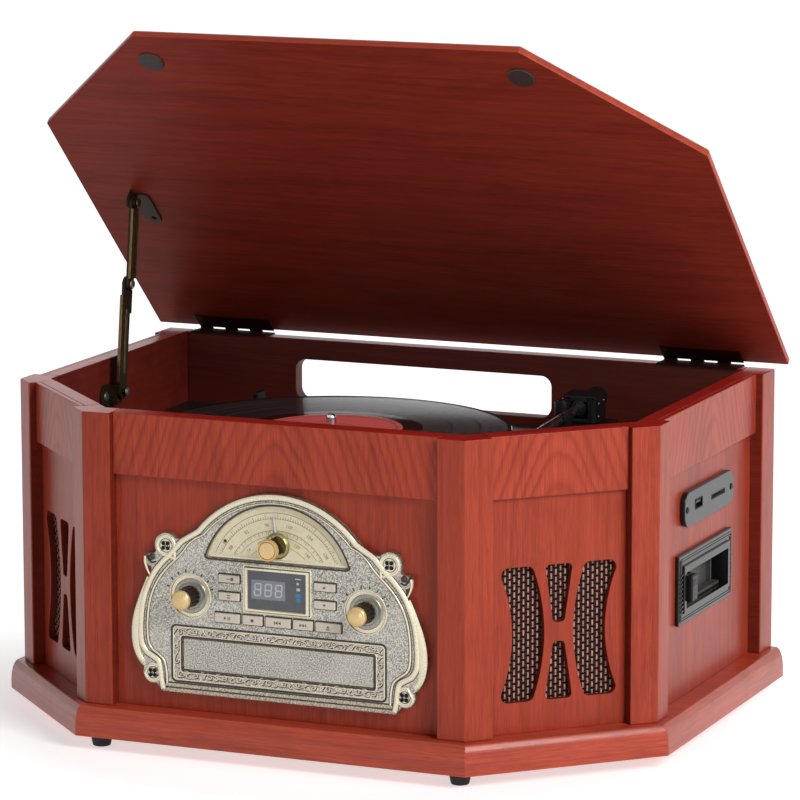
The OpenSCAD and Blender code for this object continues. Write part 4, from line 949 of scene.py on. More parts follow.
class MUSIC_OT_record(Adding, bpy.types.Operator):
    """Adds the record with its grooved bands and label"""
    bl_idname = "music.record"
    bl_label = "Record"

    def add(self, scene):
        profile = [(3.65, 0), (124.6, 0), (125, 0.5), (125, 1.5), (124.6, 2), (122.5, 1.9), (121.5, 1.65),
                   (64, 1.65), (62, 1.9), (51.5, 1.9), (50.5, 2.0), (49.6, 2.0), (49.4, 1.9), (20, 1.9), (17, 1.8),
                   (15.6, 1.95), (3.65, 2.0), (3.65, 0)]
        disc = turned(profile, (DECK_X, DECK_Y, 193), 128)
        record, label = record_finish("record_vinyl"), label_finish("record_label")
        paint(disc, record, label, chooser=lambda p, n: int(n.z > 0.3 and math.dist(
            p.xy, (DECK_X, DECK_Y)) < LABEL_RADIUS))
        place(disc, "record_finished", "record", ["record"], 25)


class MUSIC_OT_platter(Adding, bpy.types.Operator):
    """Adds the deck, platter, mat, spindle, motor, pulley and speed lever"""
    bl_idname = "music.platter"
    bl_label = "Deck and platter"

    def add(self, scene):
        softened("deck_board", "cabinet", "deck_black", 0.6)
        softened("platter", "platter", "turned_aluminium", 0.4)
        softened("platter_mat", "platter", "mat_rubber", 0.3)
        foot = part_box("spindle")[0][2] / MM - BASE_LEVEL
        spindle = turned([(0, foot), (3.57, foot), (3.57, 201.4), (3.3, 203), (2.6, 204.2), (1.4, 204.9), (0, 205)],
                         (DECK_X, DECK_Y, 0), 32)
        added(spindle, "bright_steel", "spindle_finished", "platter", ["spindle"])
        softened("turntable_motor", "cabinet", "core_iron", 0.5)
        softened("motor_pulley", "pulley", "pulley_brass", 0.15)
        softened("speed_lever", "speed_lever", "slot_black", 1.4, 3)


def at_arm(obj):
    """Turns a piece drawn along -Y from the pivot to where the parked arm is."""
    return moved(obj, (ARM_X, ARM_Y, 0), (0, 0, math.radians(ARM_PARK)))


class MUSIC_OT_tonearm(Adding, bpy.types.Operator):
    """Adds the tonearm with its base, turret, counterweight, head and rest"""
    bl_idname = "music.tonearm"
    bl_label = "Tonearm"

    def add(self, scene):
        for node, body, width, segments in (("tonearm_base", "cabinet", 1.2, 3),
                                            ("tonearm_pivot", "arm_turret", 0.8, 3),
                                            ("arm_rest", "cabinet", 0.5, 2), ("headshell", "arm", 0.6, 3)):
            softened(node, body, "arm_plastic", width, segments)
        softened("tonearm", "arm", ["bright_steel", "arm_plastic"],
                 chooser=lambda p, n: int(p.y > ARM_Y - 8))
        hood = [box((0, 0, 209.2), (12.4, 26, 3.4), 0.5), box((0, 0, 210.9), (24, 26, 1.4), 0.5),
                rod((-11.6, -13.4, 192.6), (-11.6, -13.4, 207.4), 5.2, 32, bevel=0.7),
                rod((-11.6, -13.4, 207), (-11.6, -13.4, 208.4), 3.4, 32, bevel=0.4)]
        dots = [rod((12.8, y, z), (13.5, y, z), 1.0, 12, 0.7) for y, z in ((-7, 206), (6, 206.5), (-7, 197))]
        sleeve = [rod((0, -13.5, ARM_Z), (0, 9, ARM_Z), 5.5, 32, bevel=0.5)]
        ribs = [rod((0, y, ARM_Z), (0, y + 0.8, ARM_Z), 7.9, 40) for y in range(22, 34, 2)]
        for parts, material, name, body in ((hood, "arm_plastic", "turret_hood", "arm_turret"),
                                            (dots, "arm_light", "turret_screws", "arm_turret"),
                                            (sleeve, "arm_plastic", "arm_sleeve", "arm"),
                                            (ribs, "arm_plastic", "counterweight_ribs", "arm")):
            added(at_arm(joined(parts)), material, name, body)
        base_dots = [rod((132, y, 191.8), (132, y, 192.6), 1.6, 16) for y in (72, 77)]
        added(base_dots, "arm_light", "base_screws")
        tab = [box((0, -206.5, 204.5), (5, 6, 1.2), 0.4), rod((-6.2, -190, 203), (6.2, -190, 203), 1.1, 12)]
        added(at_arm(joined(tab)), "arm_light", "head_finger_tab", "arm")


# ---- Control plate ----

# Left half of the outer bead, from the foot up to the dome, as (x from the plate's middle, height)
LEFT_BEAD = [(-84.2, 40.6), (-85.4, 46), (-86.2, 53), (-87.6, 59), (-91.6, 61.9), (-96.6, 65), (-99.8, 71),
             (-100.4, 80.5), (-99.6, 92.6), (-97.6, 102.6), (-94.3, 111.4), (-90, 119.6), (-84.3, 126.8),
             (-77.5, 133.4), (-73, 138.4), (-69.2, 142.4), (-61.4, 147.2)]
# Left half of the inner bead, from the foot up
LEFT_INNER = [(-81.2, 44.5), (-81.6, 52), (-83.2, 59.5), (-87.2, 63.6), (-92.3, 67.2), (-94.7, 71.6),
              (-95.5, 80), (-94.9, 91.5), (-92.8, 102.6), (-89.4, 110.9), (-84.8, 118.2), (-79, 124.9),
              (-72.6, 131), (-68.2, 135.8), (-64.6, 140.6), (-58.6, 145.6)]
# The swollen band outside the beads, from its foot up
LEFT_SWELL = [(-98.4, 57.4), (-102.2, 62), (-104.2, 70), (-104.3, 80), (-102.6, 90), (-99.6, 100), (-96.6, 109),
              (-94.2, 116)]


# The leaf and the stem of the curl beside each upper ear
LEAF = [(96.2, 130.4), (96.6, 126.5), (95.4, 121.8), (93.2, 117.6)]
STEM = [(88.6, 127.2), (91.4, 126.2), (93.9, 128.2), (96.0, 131.6)]
ROPE_LEAN, ROPE_PITCH = 38, 2.45


def full_bead(half, radius):
    """The half line, over the dome and down the other side."""
    left = curved(half)
    start = math.degrees(math.atan2(half[-1][1] - DOME_Z, half[-1][0]))
    dome = arc((0, DOME_Z), radius, start - 4, 180 - start + 4, 40)
    return left[:-1] + [Vector(p) for p in dome] + [Vector((-p[0], p[1])) for p in reversed(left[:-1])]


class MUSIC_OT_plate(Adding, bpy.types.Operator):
    """Adds the cast plate: stippled field, beads, swollen sides, ropes, ears and curls"""
    bl_idname = "music.plate"
    bl_label = "Control plate"

    def add(self, scene):
        softened("escutcheon", "cabinet", ["pewter_field", "aged_edge", "pewter_bead"], 0.35,
                 angle=50, chooser=plate_chooser)
        outer, inner = full_bead(LEFT_BEAD, 73.3), full_bead(LEFT_INNER, 69.2)
        width = scene.music_plate.bead_width / MM

        def fading(t):
            return 1 - 0.45 * max(0.0, 1 - abs(t - 0.5) / 0.22)

        plated(moulded([inner], 2.5, 0.12, FLAT, shift=-0.1, taper=fading), "patina", "plate_inner_groove")
        plated(moulded([outer], width + 0.9, 0.1, FLAT), "patina", "plate_outer_groove")
        beads = [moulded([outer], width, 1.5), moulded([inner], 1.5, 0.75, taper=fading)]
        plated(beads, "pewter_bead", "plate_beads")
        swell = curved(LEFT_SWELL)
        bands = moulded([swell, mirrored(swell)], 6.4, 1.2,
                        taper=lambda t: 0.35 + 0.65 * math.sin(math.pi * min(max(t, 0.06), 0.94)))
        plated(bands, "pewter_bead", "plate_swells")
        plated(rope_lines(), "pewter_bead", "plate_ropes")
        feet_lines = moulded([[(-84, 41.9), (84, 41.9)], [(-83, 45.2), (83, 45.2)]], 0.9, 0.14, FLAT)
        plated(feet_lines, "patina", "plate_rope_grooves")
        self.ears()

    @staticmethod
    def ears():
        """Round ears with a rim, a pointed tail and a rosette on the screw, and the curls beside them."""
        rims, darks, rosettes, curls, leaves = [], [], [], [], []
        for side in (-1, 1):
            for x, z, radius, tail in ((81, 138.6, 6.6, -54), (91.5, 50.9, 6.0, 150)):
                turn = tail if side < 0 else 180 - tail
                line = arc((side * x, z), radius, turn + 38, turn + 322, 24)
                if z > 100:
                    line.append(polar((side * x, z), radius + 4, turn))
                rims.append(outlined(line, 1.9, 1.1))
                rims.append(rod((side * x, z, -0.2), (side * x, z, 0.3), radius - 0.4, 32))
                darks.append(outlined(arc((side * x, z), radius - 2.0, 0, 345, 23), 0.5, 0.36, FLAT))
                for degrees in range(45, 360, 90):
                    rosettes.append(ball((*polar((side * x, z), 2.2, degrees), 1.2), (3.3, 2.9, 0.5), 8, 6,
                                         (0, 0, math.radians(degrees))))
            curls.append(ball((side * 91.4, 130.2, 0.8), (4.6, 4.6, 3.2)))
            leaf, stem = (curved([(side * x, z) for x, z in points]) for points in (LEAF, STEM))
            leaves.append(moulded([leaf], 2.2, 1.5, taper=lambda t: 1.15 - 0.75 * t))
            curls.append(moulded([stem], 1.7, 1.2, taper=lambda t: 0.6 + 0.6 * t))
        for parts, material, name in ((rims, "pewter_bead", "ear_rims"), (darks, "patina", "ear_grooves"),
                                      (rosettes, "slot_black", "rosettes"), (curls, "patina", "curls"),
                                      (leaves, "pewter_bead", "leaves")):
            plated(parts, material, "plate_" + name)


def plate_chooser(point, normal):
    """Stippled in front, bright within the knobs' dishes, and a darkened bead colour on the plate's edges as painted
    shade.
    """
    if normal.y < -0.95 and point.y < PLATE_FACE + 0.1:
        return 0
    from_knob = math.hypot(abs(point.x - PLATE_X) - KNOB_X, point.z - KNOB_Z)
    return 2 if from_knob < DISH_RADIUS and normal.y < -0.5 else 1


# The stems and leaves of one scroll, as points and steps between them
SCROLL_LINES = [([(-11.4, -1.9), (-9, 1.4), (-6.2, 1.7), (-2.4, 0.6), (0.6, -1.2), (4.4, -1.5), (8.4, -1.2),
                  (11.4, 1.9)], 4),
                ([(-2.6, 0.7), (-1.2, 2.2), (1.2, 2.5)], 3), ([(-0.2, -0.8), (-1.4, -2.2), (-3.4, -2.4)], 3),
                ([(8.2, -1.2), (9.4, -2.4), (11, -2.4)], 3)]


def rope_lines():
    """Two ropes along the plate's foot, each a row of slanting beads."""
    ropes = []
    for z, half in ((40.2, 83.5), (43.5, 82)):
        lay = moved(ball((0, 0, 0), (1.15, 3.5, 2.3), 6, 5, (0, 0, math.radians(-ROPE_LEAN))), (-half, z, 0.1))
        ropes.append(repeated(lay, int(2 * half / ROPE_PITCH) + 1, (ROPE_PITCH, 0, 0)))
    return ropes


class MUSIC_OT_plate_frames(Adding, bpy.types.Operator):
    """Adds the frames round the dial window, the disc drawer and the knobs, and painted shadows round the buttons"""
    bl_idname = "music.plate_frames"
    bl_label = "Plate frames and scrolls"

    def add(self, scene):
        grooves = [outlined(rounded_box_line(155.6, 38.4, 3.2, (0.3, 65.7)), 1.3, 0.12, FLAT),
                   outlined(rounded_box_line(140.4, 23.4, 1.6, (0, DRAWER_Z)), 1.3, 0.14, FLAT)]
        corner = [(49.6, 132.1), (51.8, 132.9), (52.4, 134.6)]
        window = arc((0, DIAL_Z), 54.9, 18.5, 161.5, 48) + curved(mirrored(corner), 4) + curved(corner, 4)
        grooves.append(outlined(window, 1.2, 0.14, FLAT))
        # Dark outlines round the buttons, shifted up and to the right: painted shadow.
        for x, z, w, h in BUTTON_PLACES.values():
            outline = rounded_box_line(w + 0.9, h + 0.9, 0.5, (x + 0.15, z + 0.2), 2)
            grooves.append(outlined(outline, 0.9, 0.1, FLAT))
        plated(grooves, "patina", "plate_grooves")
        rims = [outlined(rounded_box_line(153.2, 36, 2.6, (0.3, 65.7)), 0.8, 0.3),
                outlined(rounded_box_line(142.6, 25.6, 2, (0, DRAWER_Z)), 0.7, 0.3),
                outlined(rounded_box_line(48.6, 31.5, 1, (0, 114)), 1.2, 0.5)]
        rims += [outlined(arc((x, KNOB_Z), 14.9, 0, 352.5, 47), 0.8, 0.35) for x in (-KNOB_X, KNOB_X)]
        plated(rims, "pewter_bead", "plate_rims")
        # The raised scrolls sit left of and above their wider dark copy, so a dark line shows below and right of
        # each: patina in the hollows and painted shadow.
        plated(self.scrolls(0.65, 0.4), "pewter_scroll", "drawer_scrolls", x=PLATE_X - 0.4, z=0.45)
        plated(self.scrolls(0.95, 0.14, FLAT), "patina", "drawer_scroll_grooves")
        plated(self.knob_marks(), "patina", "knob_marks")

    @staticmethod
    def scrolls(width, height, section=None):
        """A running band of leaf scrolls round the drawer: S curves that end in small spirals."""
        def spiral(cx, cy, radius, start, turn, steps=14):
            return [polar((cx, cy), radius * (1 - 0.75 * i / steps), start + turn * i / steps)
                    for i in range(steps + 1)]

        def unit(flip):
            lines = [spiral(-6.2, -0.4 * flip, 2.1, 90 * flip, 430 * flip),
                     spiral(4.4, 0.5 * flip, 1.9, -90 * flip, 400 * flip)]
            for points, steps in SCROLL_LINES:
                lines.append(curved([(x, y * flip) for x, y in points], steps))
            return lines

        lines = []
        pitch = 21.576
        for row, z in ((0, 80.4), (1, 51.0)):
            for k in range(-3, 4):
                for line in unit(1 if (k + row) % 2 else -1):
                    shifted = [(p[0] + k * pitch + 0.3, p[1] + z) for p in line]
                    if max(abs(p[0]) for p in shifted) < 76.6:
                        lines.append(shifted)
        for side in (-1, 1):
            for line in unit(side):
                lines.append([(side * 74.0 + 0.2 + p[1] * 0.9, 65.7 + p[0] * 0.92) for p in line])
        return moulded(lines, width, height, section, sink=0.1, taper=lambda t: 1 - 0.35 * t)

    @staticmethod
    def knob_marks():
        """Short marks round the upper side of each knob's dish."""
        return moulded([[polar((x, KNOB_Z), radius, degrees) for radius in (16.0, 18.2)]
                        for x in (-KNOB_X, KNOB_X) for degrees in range(20, 161, 20)], 0.8, 0.15, FLAT)


# ---- Dial ----

class MUSIC_OT_dial(Adding, bpy.types.Operator):
    """Adds the dial's printed arcs, ticks and plain numbers, and the pointer"""
    bl_idname = "music.dial"
    bl_label = "Dial"

    def add(self, scene):
        softened("dial_scale", "cabinet", "dial_paper", 0.2)
        centre = (0, DIAL_Z)
        ink = []
        for radius, width in ((49.5, 0.35), (45.5, 0.3), (37.5, 0.3), (33.8, 0.25), (27.5, 0.25)):
            low = math.degrees(math.asin(19.5 / radius))
            ink.append(moulded([arc(centre, radius, low, 180 - low, 40)], width, 0.05, FLAT, sink=0.1))
        ticks = []
        for i in range(61):
            long = i % 5 == 0
            for inner, outer in ((45.5, 48.6 if long else 47.0), (37.5 - (2.6 if long else 1.3), 37.5)):
                if not long and inner < 40 and i % 2:
                    continue
                ends = [polar(centre, radius, 158 - i * 136 / 60) for radius in (outer, inner)]
                if min(height for _, height in ends) > 135.2:
                    ticks.append(ends)
        ink.append(moulded(ticks, 0.3, 0.05, FLAT, sink=0.1))
        for row, radius, size in (((88, 92, 96, 100, 104, 108), 41.4, 3.4),
                                  ((54, 60, 70, 90, 120, 160), 31.0, 3.0)):
            low = math.degrees(math.asin(21.5 / radius))
            for i, number in enumerate(row):
                degrees = 180 - low - 3 - i * (174 - 2 * low) / (len(row) - 1)
                ink.append(lettered(str(number), size, *polar(centre, radius, degrees), degrees - 90))
        plated(ink, "dial_ink", "dial_print", "dial_cream", y=DIAL_FACE)
        dot = rod((-38.5, 144.6, 0.0), (-38.5, 144.6, 0.5), 1.2, 16, 0.9)
        plated(dot, "patina", "dial_dot", "dial_cream", y=DIAL_FACE)
        softened("dial_pointer", "tuning_knob", "pointer", 0.15)
        sill = moulded([[(-49.5, 134.0), (49.5, 134.0)]], 2.0, 0.5)
        plated(sill, "pewter_bead", "dial_sill", y=DIAL_FACE - 0.1)


# ---- Knobs and buttons ----

# Turned profiles of (radius, height over the plate)
KNOB_CAP = [(0, 13.8), (6.3, 13.8), (6.75, 14.4), (6.75, 15.6), (6.3, 16.6), (5.2, 17.3), (3, 17.8), (0, 18)]
KNOB_RING = [(0, -0.5), (11.6, -0.5), (11.9, 0.3), (11.4, 0.8), (9.2, 0.8), (8.8, 0.4), (8.4, 0.5), (8.2, 1.2),
             (0, 1.2)]
TUNING_FLANGE = [(0, 0), (8.6, 0), (8.9, 0.5), (8.4, 1.6), (7.4, 2.6), (0, 2.6)]
TUNING_CAP = [(0, 13.4), (6.7, 13.4), (7.2, 13.9), (7.3, 16.2), (6.9, 16.9), (6.3, 16.9), (6.0, 16.2), (5.7, 16.4),
              (5.4, 17.1), (0, 17.3)]


def fluted_knob(root, length, tip, flutes=0, depth=0.1):
    """A tapered knob body along the drawing's height, with flutes of a share of its radius; without them it has
    three sides."""
    steps = flutes * 4
    deselect()
    bpy.ops.mesh.primitive_cone_add(vertices=steps, radius1=root * MM, radius2=tip * MM, depth=length * MM,
                                    location=(0, 0, length / 2 * MM))
    obj = settle(bpy.context.object)
    edit(obj, (bpy.ops.mesh.bisect, {"plane_co": (0, 0, 1.6 * MM), "plane_no": (0, 0, 1)}),
         (bpy.ops.mesh.select_all, {"action": "SELECT"}),
         (bpy.ops.mesh.bisect, {"plane_co": (0, 0, (length - 1.2) * MM), "plane_no": (0, 0, 1)}))
    for vertex in obj.data.vertices:
        x, y, z = vertex.co / MM
        if 1.2 < z < length - 0.6 and flutes:
            k = round(math.degrees(math.atan2(y, x)) / (360 / steps)) % 4
            share = (1, 1 - depth, 1 - depth, 1)[k]
            vertex.co = Vector((x * share, y * share, z)) * MM
    return obj


def knob_shaft(node, x, y, z):
    """The shaft from behind a knob to the end that the CAD gives it."""
    return rod((x, y, z), (x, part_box(node)[1][1] / MM, z), 3, 24, bevel=0.3)


class MUSIC_OT_knobs(Adding, bpy.types.Operator):
    """Adds the two fluted knobs and the tuning knob"""
    bl_idname = "music.knobs"
    bl_label = "Knobs"

    def add(self, scene):
        for name, x in (("volume_knob", PLATE_X - KNOB_X), ("function_knob", PLATE_X + KNOB_X)):
            body = rounded(fluted_knob(root=7.5, length=15.2, tip=6.5, flutes=14), 0.15, 1, 25)
            parts = [paint(body, "knob_bronze"),
                     paint(turned(KNOB_CAP, steps=40), "gold_cap"), paint(turned(KNOB_RING, steps=48), "dish_silver")]
            place(on_plate(joined(parts), x, PLATE_FACE + 0.8, KNOB_Z), name + "_finished", name,
                  [name])
            added(knob_shaft(name, x, PLATE_FACE + 1, KNOB_Z), "bright_steel", name + "_shaft", name)
        parts = [paint(rounded(fluted_knob(root=7.2, length=14.5, tip=6.6), 0.3, 2, 30), "knob_bronze"),
                 paint(turned(TUNING_FLANGE, steps=48), "knob_base"), paint(turned(TUNING_CAP, steps=48), "gold_cap")]
        place(on_plate(joined(parts), PLATE_X, -162.4, TUNING_Z), "tuning_knob_finished", "tuning_knob",
              ["tuning_knob"])
        shaft = knob_shaft("tuning_knob", PLATE_X, -162, TUNING_Z)
        added(shaft, "bright_steel", "tuning_knob_shaft", "tuning_knob")


# Button: (x from the plate's middle, height, width, cap height)
BUTTON_PLACES = {
    "button_left_upper": (-34.7, 119.8, 15, 5.2), "button_left_lower": (-34.7, 107.8, 15, 5.2),
    "button_right_upper": (34.7, 119.8, 15, 5.2), "button_right_lower": (34.7, 107.8, 15, 5.2),
    "button_row_1": (-36, 93, 18, 6.2), "button_row_2": (-17.6, 93, 14, 6.2), "button_row_3": (1, 93, 18, 6.2),
    "button_row_4": (19, 93, 14, 6.2), "button_row_5": (37.3, 93, 18, 6.2)}


def button_symbol(name):
    """The sign on a button, as closed shapes of (x, height) points about its middle."""
    right, left = [(-1, -1.1), (1, 0), (-1, 1.1)], [(1, -1.1), (1, 1.1), (-1, 0)]
    bar = [(-0.3, -1.1), (0.3, -1.1), (0.3, 1.1), (-0.3, 1.1)]
    square = [(-1, -1), (1, -1), (1, 1), (-1, 1)]
    up, down = [(-1.2, -0.8), (1.2, -0.8), (0, 0.9)], [(-1.2, 0.9), (0, -0.8), (1.2, 0.9)]
    dash = [(-1.3, -0.3), (1.3, -0.3), (1.3, 0.3), (-1.3, 0.3)]

    def at(dx, shape, dy=0.0):
        return [(x + dx, y + dy) for x, y in shape]

    signs = {"button_left_upper": [dash, at(2.6, square)], "button_left_lower": [at(0, dash, 0.8), at(0, dash, -0.8)],
             "button_right_upper": [at(0, up, 0.1)], "button_right_lower": [at(0, down, -0.1)],
             "button_row_1": [at(-1.2, right), at(0.9, bar), at(2.1, bar)], "button_row_2": [square],
             "button_row_3": [at(1.2, left), at(-1.0, left), at(-2.4, bar)],
             "button_row_4": [at(-1.2, right), at(1.0, right), at(2.4, bar)],
             "button_row_5": [at(0, up, 0.6), at(0, dash, -1.2)]}
    return signs[name]


def flat_shapes(shapes, thick=0.12):
    """Thin raised signs, one for each closed shape."""
    made = []
    for shape in shapes:
        deselect()
        bpy.ops.mesh.primitive_circle_add(vertices=len(shape), radius=MM, fill_type="NGON")
        obj = bpy.context.object
        for vertex, (x, y) in zip(obj.data.vertices, shape):
            vertex.co = Vector((x, y, 0)) * MM
        edit(obj, (bpy.ops.mesh.extrude_region_move, {"TRANSFORM_OT_translate": {"value": (0, 0, thick * MM)}}),
             (bpy.ops.mesh.select_all, {"action": "SELECT"}),
             (bpy.ops.mesh.normals_make_consistent, {"inside": False}))
        made.append(obj)
    return joined(made)


class MUSIC_OT_buttons(Adding, bpy.types.Operator):
    """Adds the nine buttons with their signs"""
    bl_idname = "music.buttons"
    bl_label = "Buttons"

    def add(self, scene):
        for name, (x, z, _w, _h) in BUTTON_PLACES.items():
            softened(name, name, "button_cream", 0.5, 3)
            sign = on_plate(flat_shapes(button_symbol(name)), PLATE_X + x, PLATE_FACE - 1.55, z)
            added(sign, "button_mark", name + "_sign", name)


# The bars of a digit, as (place across, place up, whether it lies level)
SEGMENTS = [(0, 1, 1), (0, 0, 1), (0, -1, 1), (-1, 0.5, 0), (1, 0.5, 0), (-1, -0.5, 0), (1, -0.5, 0)]
DIGIT_WIDTH, DIGIT_HEIGHT, DIGIT_PITCH, DIGIT_LEAN, BAR = 2.2, 4.0, 7.6, 0.09, 0.5


class MUSIC_OT_display(Adding, bpy.types.Operator):
    """Adds the display with its frame, glass and unlit digits"""
    bl_idname = "music.display"
    bl_label = "Display"

    def add(self, scene):
        softened("display_module", "cabinet", ["pewter_bead", "display_glass"], 0.35, angle=50,
                 chooser=lambda p, n: int(PLATE_FACE - 0.6 < p.y < -160 and n.y < -0.5))
        face = PLATE_FACE - 0.4
        block = box((PLATE_X - 6.2, face - 0.04, DISPLAY_Z), (24.5, 0.1, 13), 0.03, 1)
        added(block, "display_block", "display_block")
        shapes = []
        for k in range(3):
            for x, y, level in SEGMENTS:
                px, py = (k - 1) * DIGIT_PITCH - 6.2 + x * DIGIT_WIDTH, y * DIGIT_HEIGHT
                long = (DIGIT_WIDTH if level else DIGIT_HEIGHT / 2) - 0.45
                shape = [(-long, -BAR), (long, -BAR), (long + 0.35, 0), (long, BAR), (-long, BAR), (-long - 0.35, 0)]
                if not level:
                    shape = [(v, u) for u, v in reversed(shape)]
                shapes.append([(px + u + DIGIT_LEAN * (py + v), py + v) for u, v in shape])
        plated(flat_shapes(shapes, 0.08), "display_digit", "display_digits", "display_glass", y=face - 0.06,
               z=DISPLAY_Z)
        spots = [rounded_box_line(size * 2, size * 1.5, size * 0.5, (x, z), 2) for x, z, size in (
            (15.2, 6.0, 1.0), (15.6, 2.2, 1.4), (15.6, -2.2, 1.9), (15.6, -5.2, 1.7))]
        bar = rounded_box_line(4.2, 0.7, 0.3, (15.4, 9.2), 2)
        for name, dots, skin in (("display_lamps", spots[2:], "display_blue"),
                                 ("display_signs", spots[:2] + [bar], "display_digit")):
            plated(flat_shapes(dots, 0.08), skin, name, "display_glass", y=face, z=DISPLAY_Z)


class MUSIC_OT_disc_drawer(Adding, bpy.types.Operator):
    """Adds the disc drawer with its stippled front and dark tray"""
    bl_idname = "music.disc_drawer"
    bl_label = "Disc drawer"

    def add(self, scene):
        softened("cd_drawer", "cd_drawer", ["pewter_field", "slot_black"], angle=50,
                 chooser=lambda p, n: int(p.y >= -155.9))
        softened("cd_mechanism", "cabinet", "plate_zinc", 0.6)


# ---- Hinges and stay ----

def screw_head(centre, radius, height, turn=(0, 0, 0), cross=True, skew=20):
    """A domed screw head with its recess, standing up from the centre before it is turned."""
    head = turned([(0, 0), (radius, 0), (radius, height * 0.35), (radius * 0.86, height * 0.8),
                   (radius * 0.5, height), (0, height * 1.06)], steps=24)
    long, narrow = radius * 1.25, radius * 0.24
    for size in ((long, narrow), (narrow, long))[:1 + cross]:
        slit = box((0, 0, height), (*size, height * 1.1))
        combined(head, moved(slit, rotation=(0, 0, math.radians(skew))), "DIFFERENCE")
    return moved(head, centre, turn)


def with_lid(obj):
    """Turns a piece drawn on the closed lid to where the open lid rests."""
    obj.data.transform(Matrix.Translation((0, HINGE_Y * MM, HINGE_Z * MM))
                       @ Matrix.Rotation(math.radians(-LID_OPEN), 4, "X")
                       @ Matrix.Translation((0, -HINGE_Y * MM, -HINGE_Z * MM)))
    obj.data.update()
    return obj


class MUSIC_OT_hinges(Adding, bpy.types.Operator):
    """Adds the two hinges with their screws"""
    bl_idname = "music.hinges"
    bl_label = "Hinges"

    def add(self, scene):
        # The hinges are coloured as the shaded wood round them: painted shade.
        for node, body in (("hinge_lower_leaves", "cabinet"), ("hinge_upper_leaves", "lid")):
            softened(node, body, "hinge_bronze", 0.12)
        places = [x + step for x in (-HINGE_X, HINGE_X) for step in (-22, 0, 22)]
        lower = [screw_head((x, 160.5, 226.3), 2.3, 0.35, skew=x * 7) for x in places]
        upper = [screw_head((x, 160.5, 227.1), 2.3, 0.35, (math.pi, 0, 0), skew=x * 5) for x in places]
        added(lower, "hinge_bronze", "hinge_screws_lower")
        added(with_lid(joined(upper)), "hinge_bronze", "hinge_screws_upper", "lid")


# The stay's pins: on the wall and on the open lid, as (y, z); the upper arm's length, and how steep both arms stand
STAY_FOOT, STAY_TOP = (28.4, 202.5), (45.314, 336.133)
STAY_UPPER, STAY_LEAN = 57.9, 82.79


class MUSIC_OT_stay(Adding, bpy.types.Operator):
    """Adds the folding stay: wall bracket, lower arm with its flanges, upper arm and lid bracket"""
    bl_idname = "music.stay"
    bl_label = "Lid stay"

    def add(self, scene):
        for node, body in (("stay_wall_bracket", "cabinet"), ("stay_lower_arm", "stay_lower"),
                           ("stay_upper_arm", "stay_upper"), ("stay_lid_bracket", "lid")):
            softened(node, body, "stay_bronze", 0.35)
        rims = [box((-207.0, 38, side * 5.9), (2.4, 62, 0.9), 0.3) for side in (-1, 1)]
        rims.append(box((-205.2, 36, 0), (0.6, 46, 3.2), 0.25))
        channel = [box((-202.1, 29, side * 4.7), (2.0, 50, 0.9), 0.3) for side in (-1, 1)]
        channel.append(box((-202.7, 28, 0), (0.5, 36, 2.6), 0.22))
        latch = [box((-206.3, 64, -6.4), (2.2, 17, 3.4), 0.7, 3)]
        # The flanges take the lighter bronze as painted highlight.
        for parts, pin, lean, material, name, body in (
                (rims, STAY_FOOT, 0, "stay_light", "stay_lower_flanges", "stay_lower"),
                (channel, STAY_TOP, 180, "stay_light", "stay_upper_flanges", "stay_upper"),
                (latch, STAY_FOOT, 0, "stay_bronze", "stay_latch", "stay_lower")):
            arm = moved(joined(parts), (0, *pin), (math.radians(STAY_LEAN + lean), 0, 0))
            added(arm, material, name, body)
        elbow = polar(STAY_TOP, STAY_UPPER, STAY_LEAN + 180)
        # The upper pin takes the lighter bronze as painted highlight.
        for x, place_at, radius, height, material, name, body in (
                (-202.2, STAY_FOOT, 3.3, 0.9, "screw_steel", "stay_pin_low", "cabinet"),
                (-200.0, STAY_TOP, 3.3, 0.9, "stay_light", "stay_pin_high", "lid"),
                (-202.0, elbow, 3.4, 1.0, "screw_steel", "stay_elbow_rivet", "stay_upper")):
            head = screw_head((x, *place_at), radius, height, (0, math.pi / 2, 0), cross=False)
            added(head, material, name, body)


# ---- Right side ----

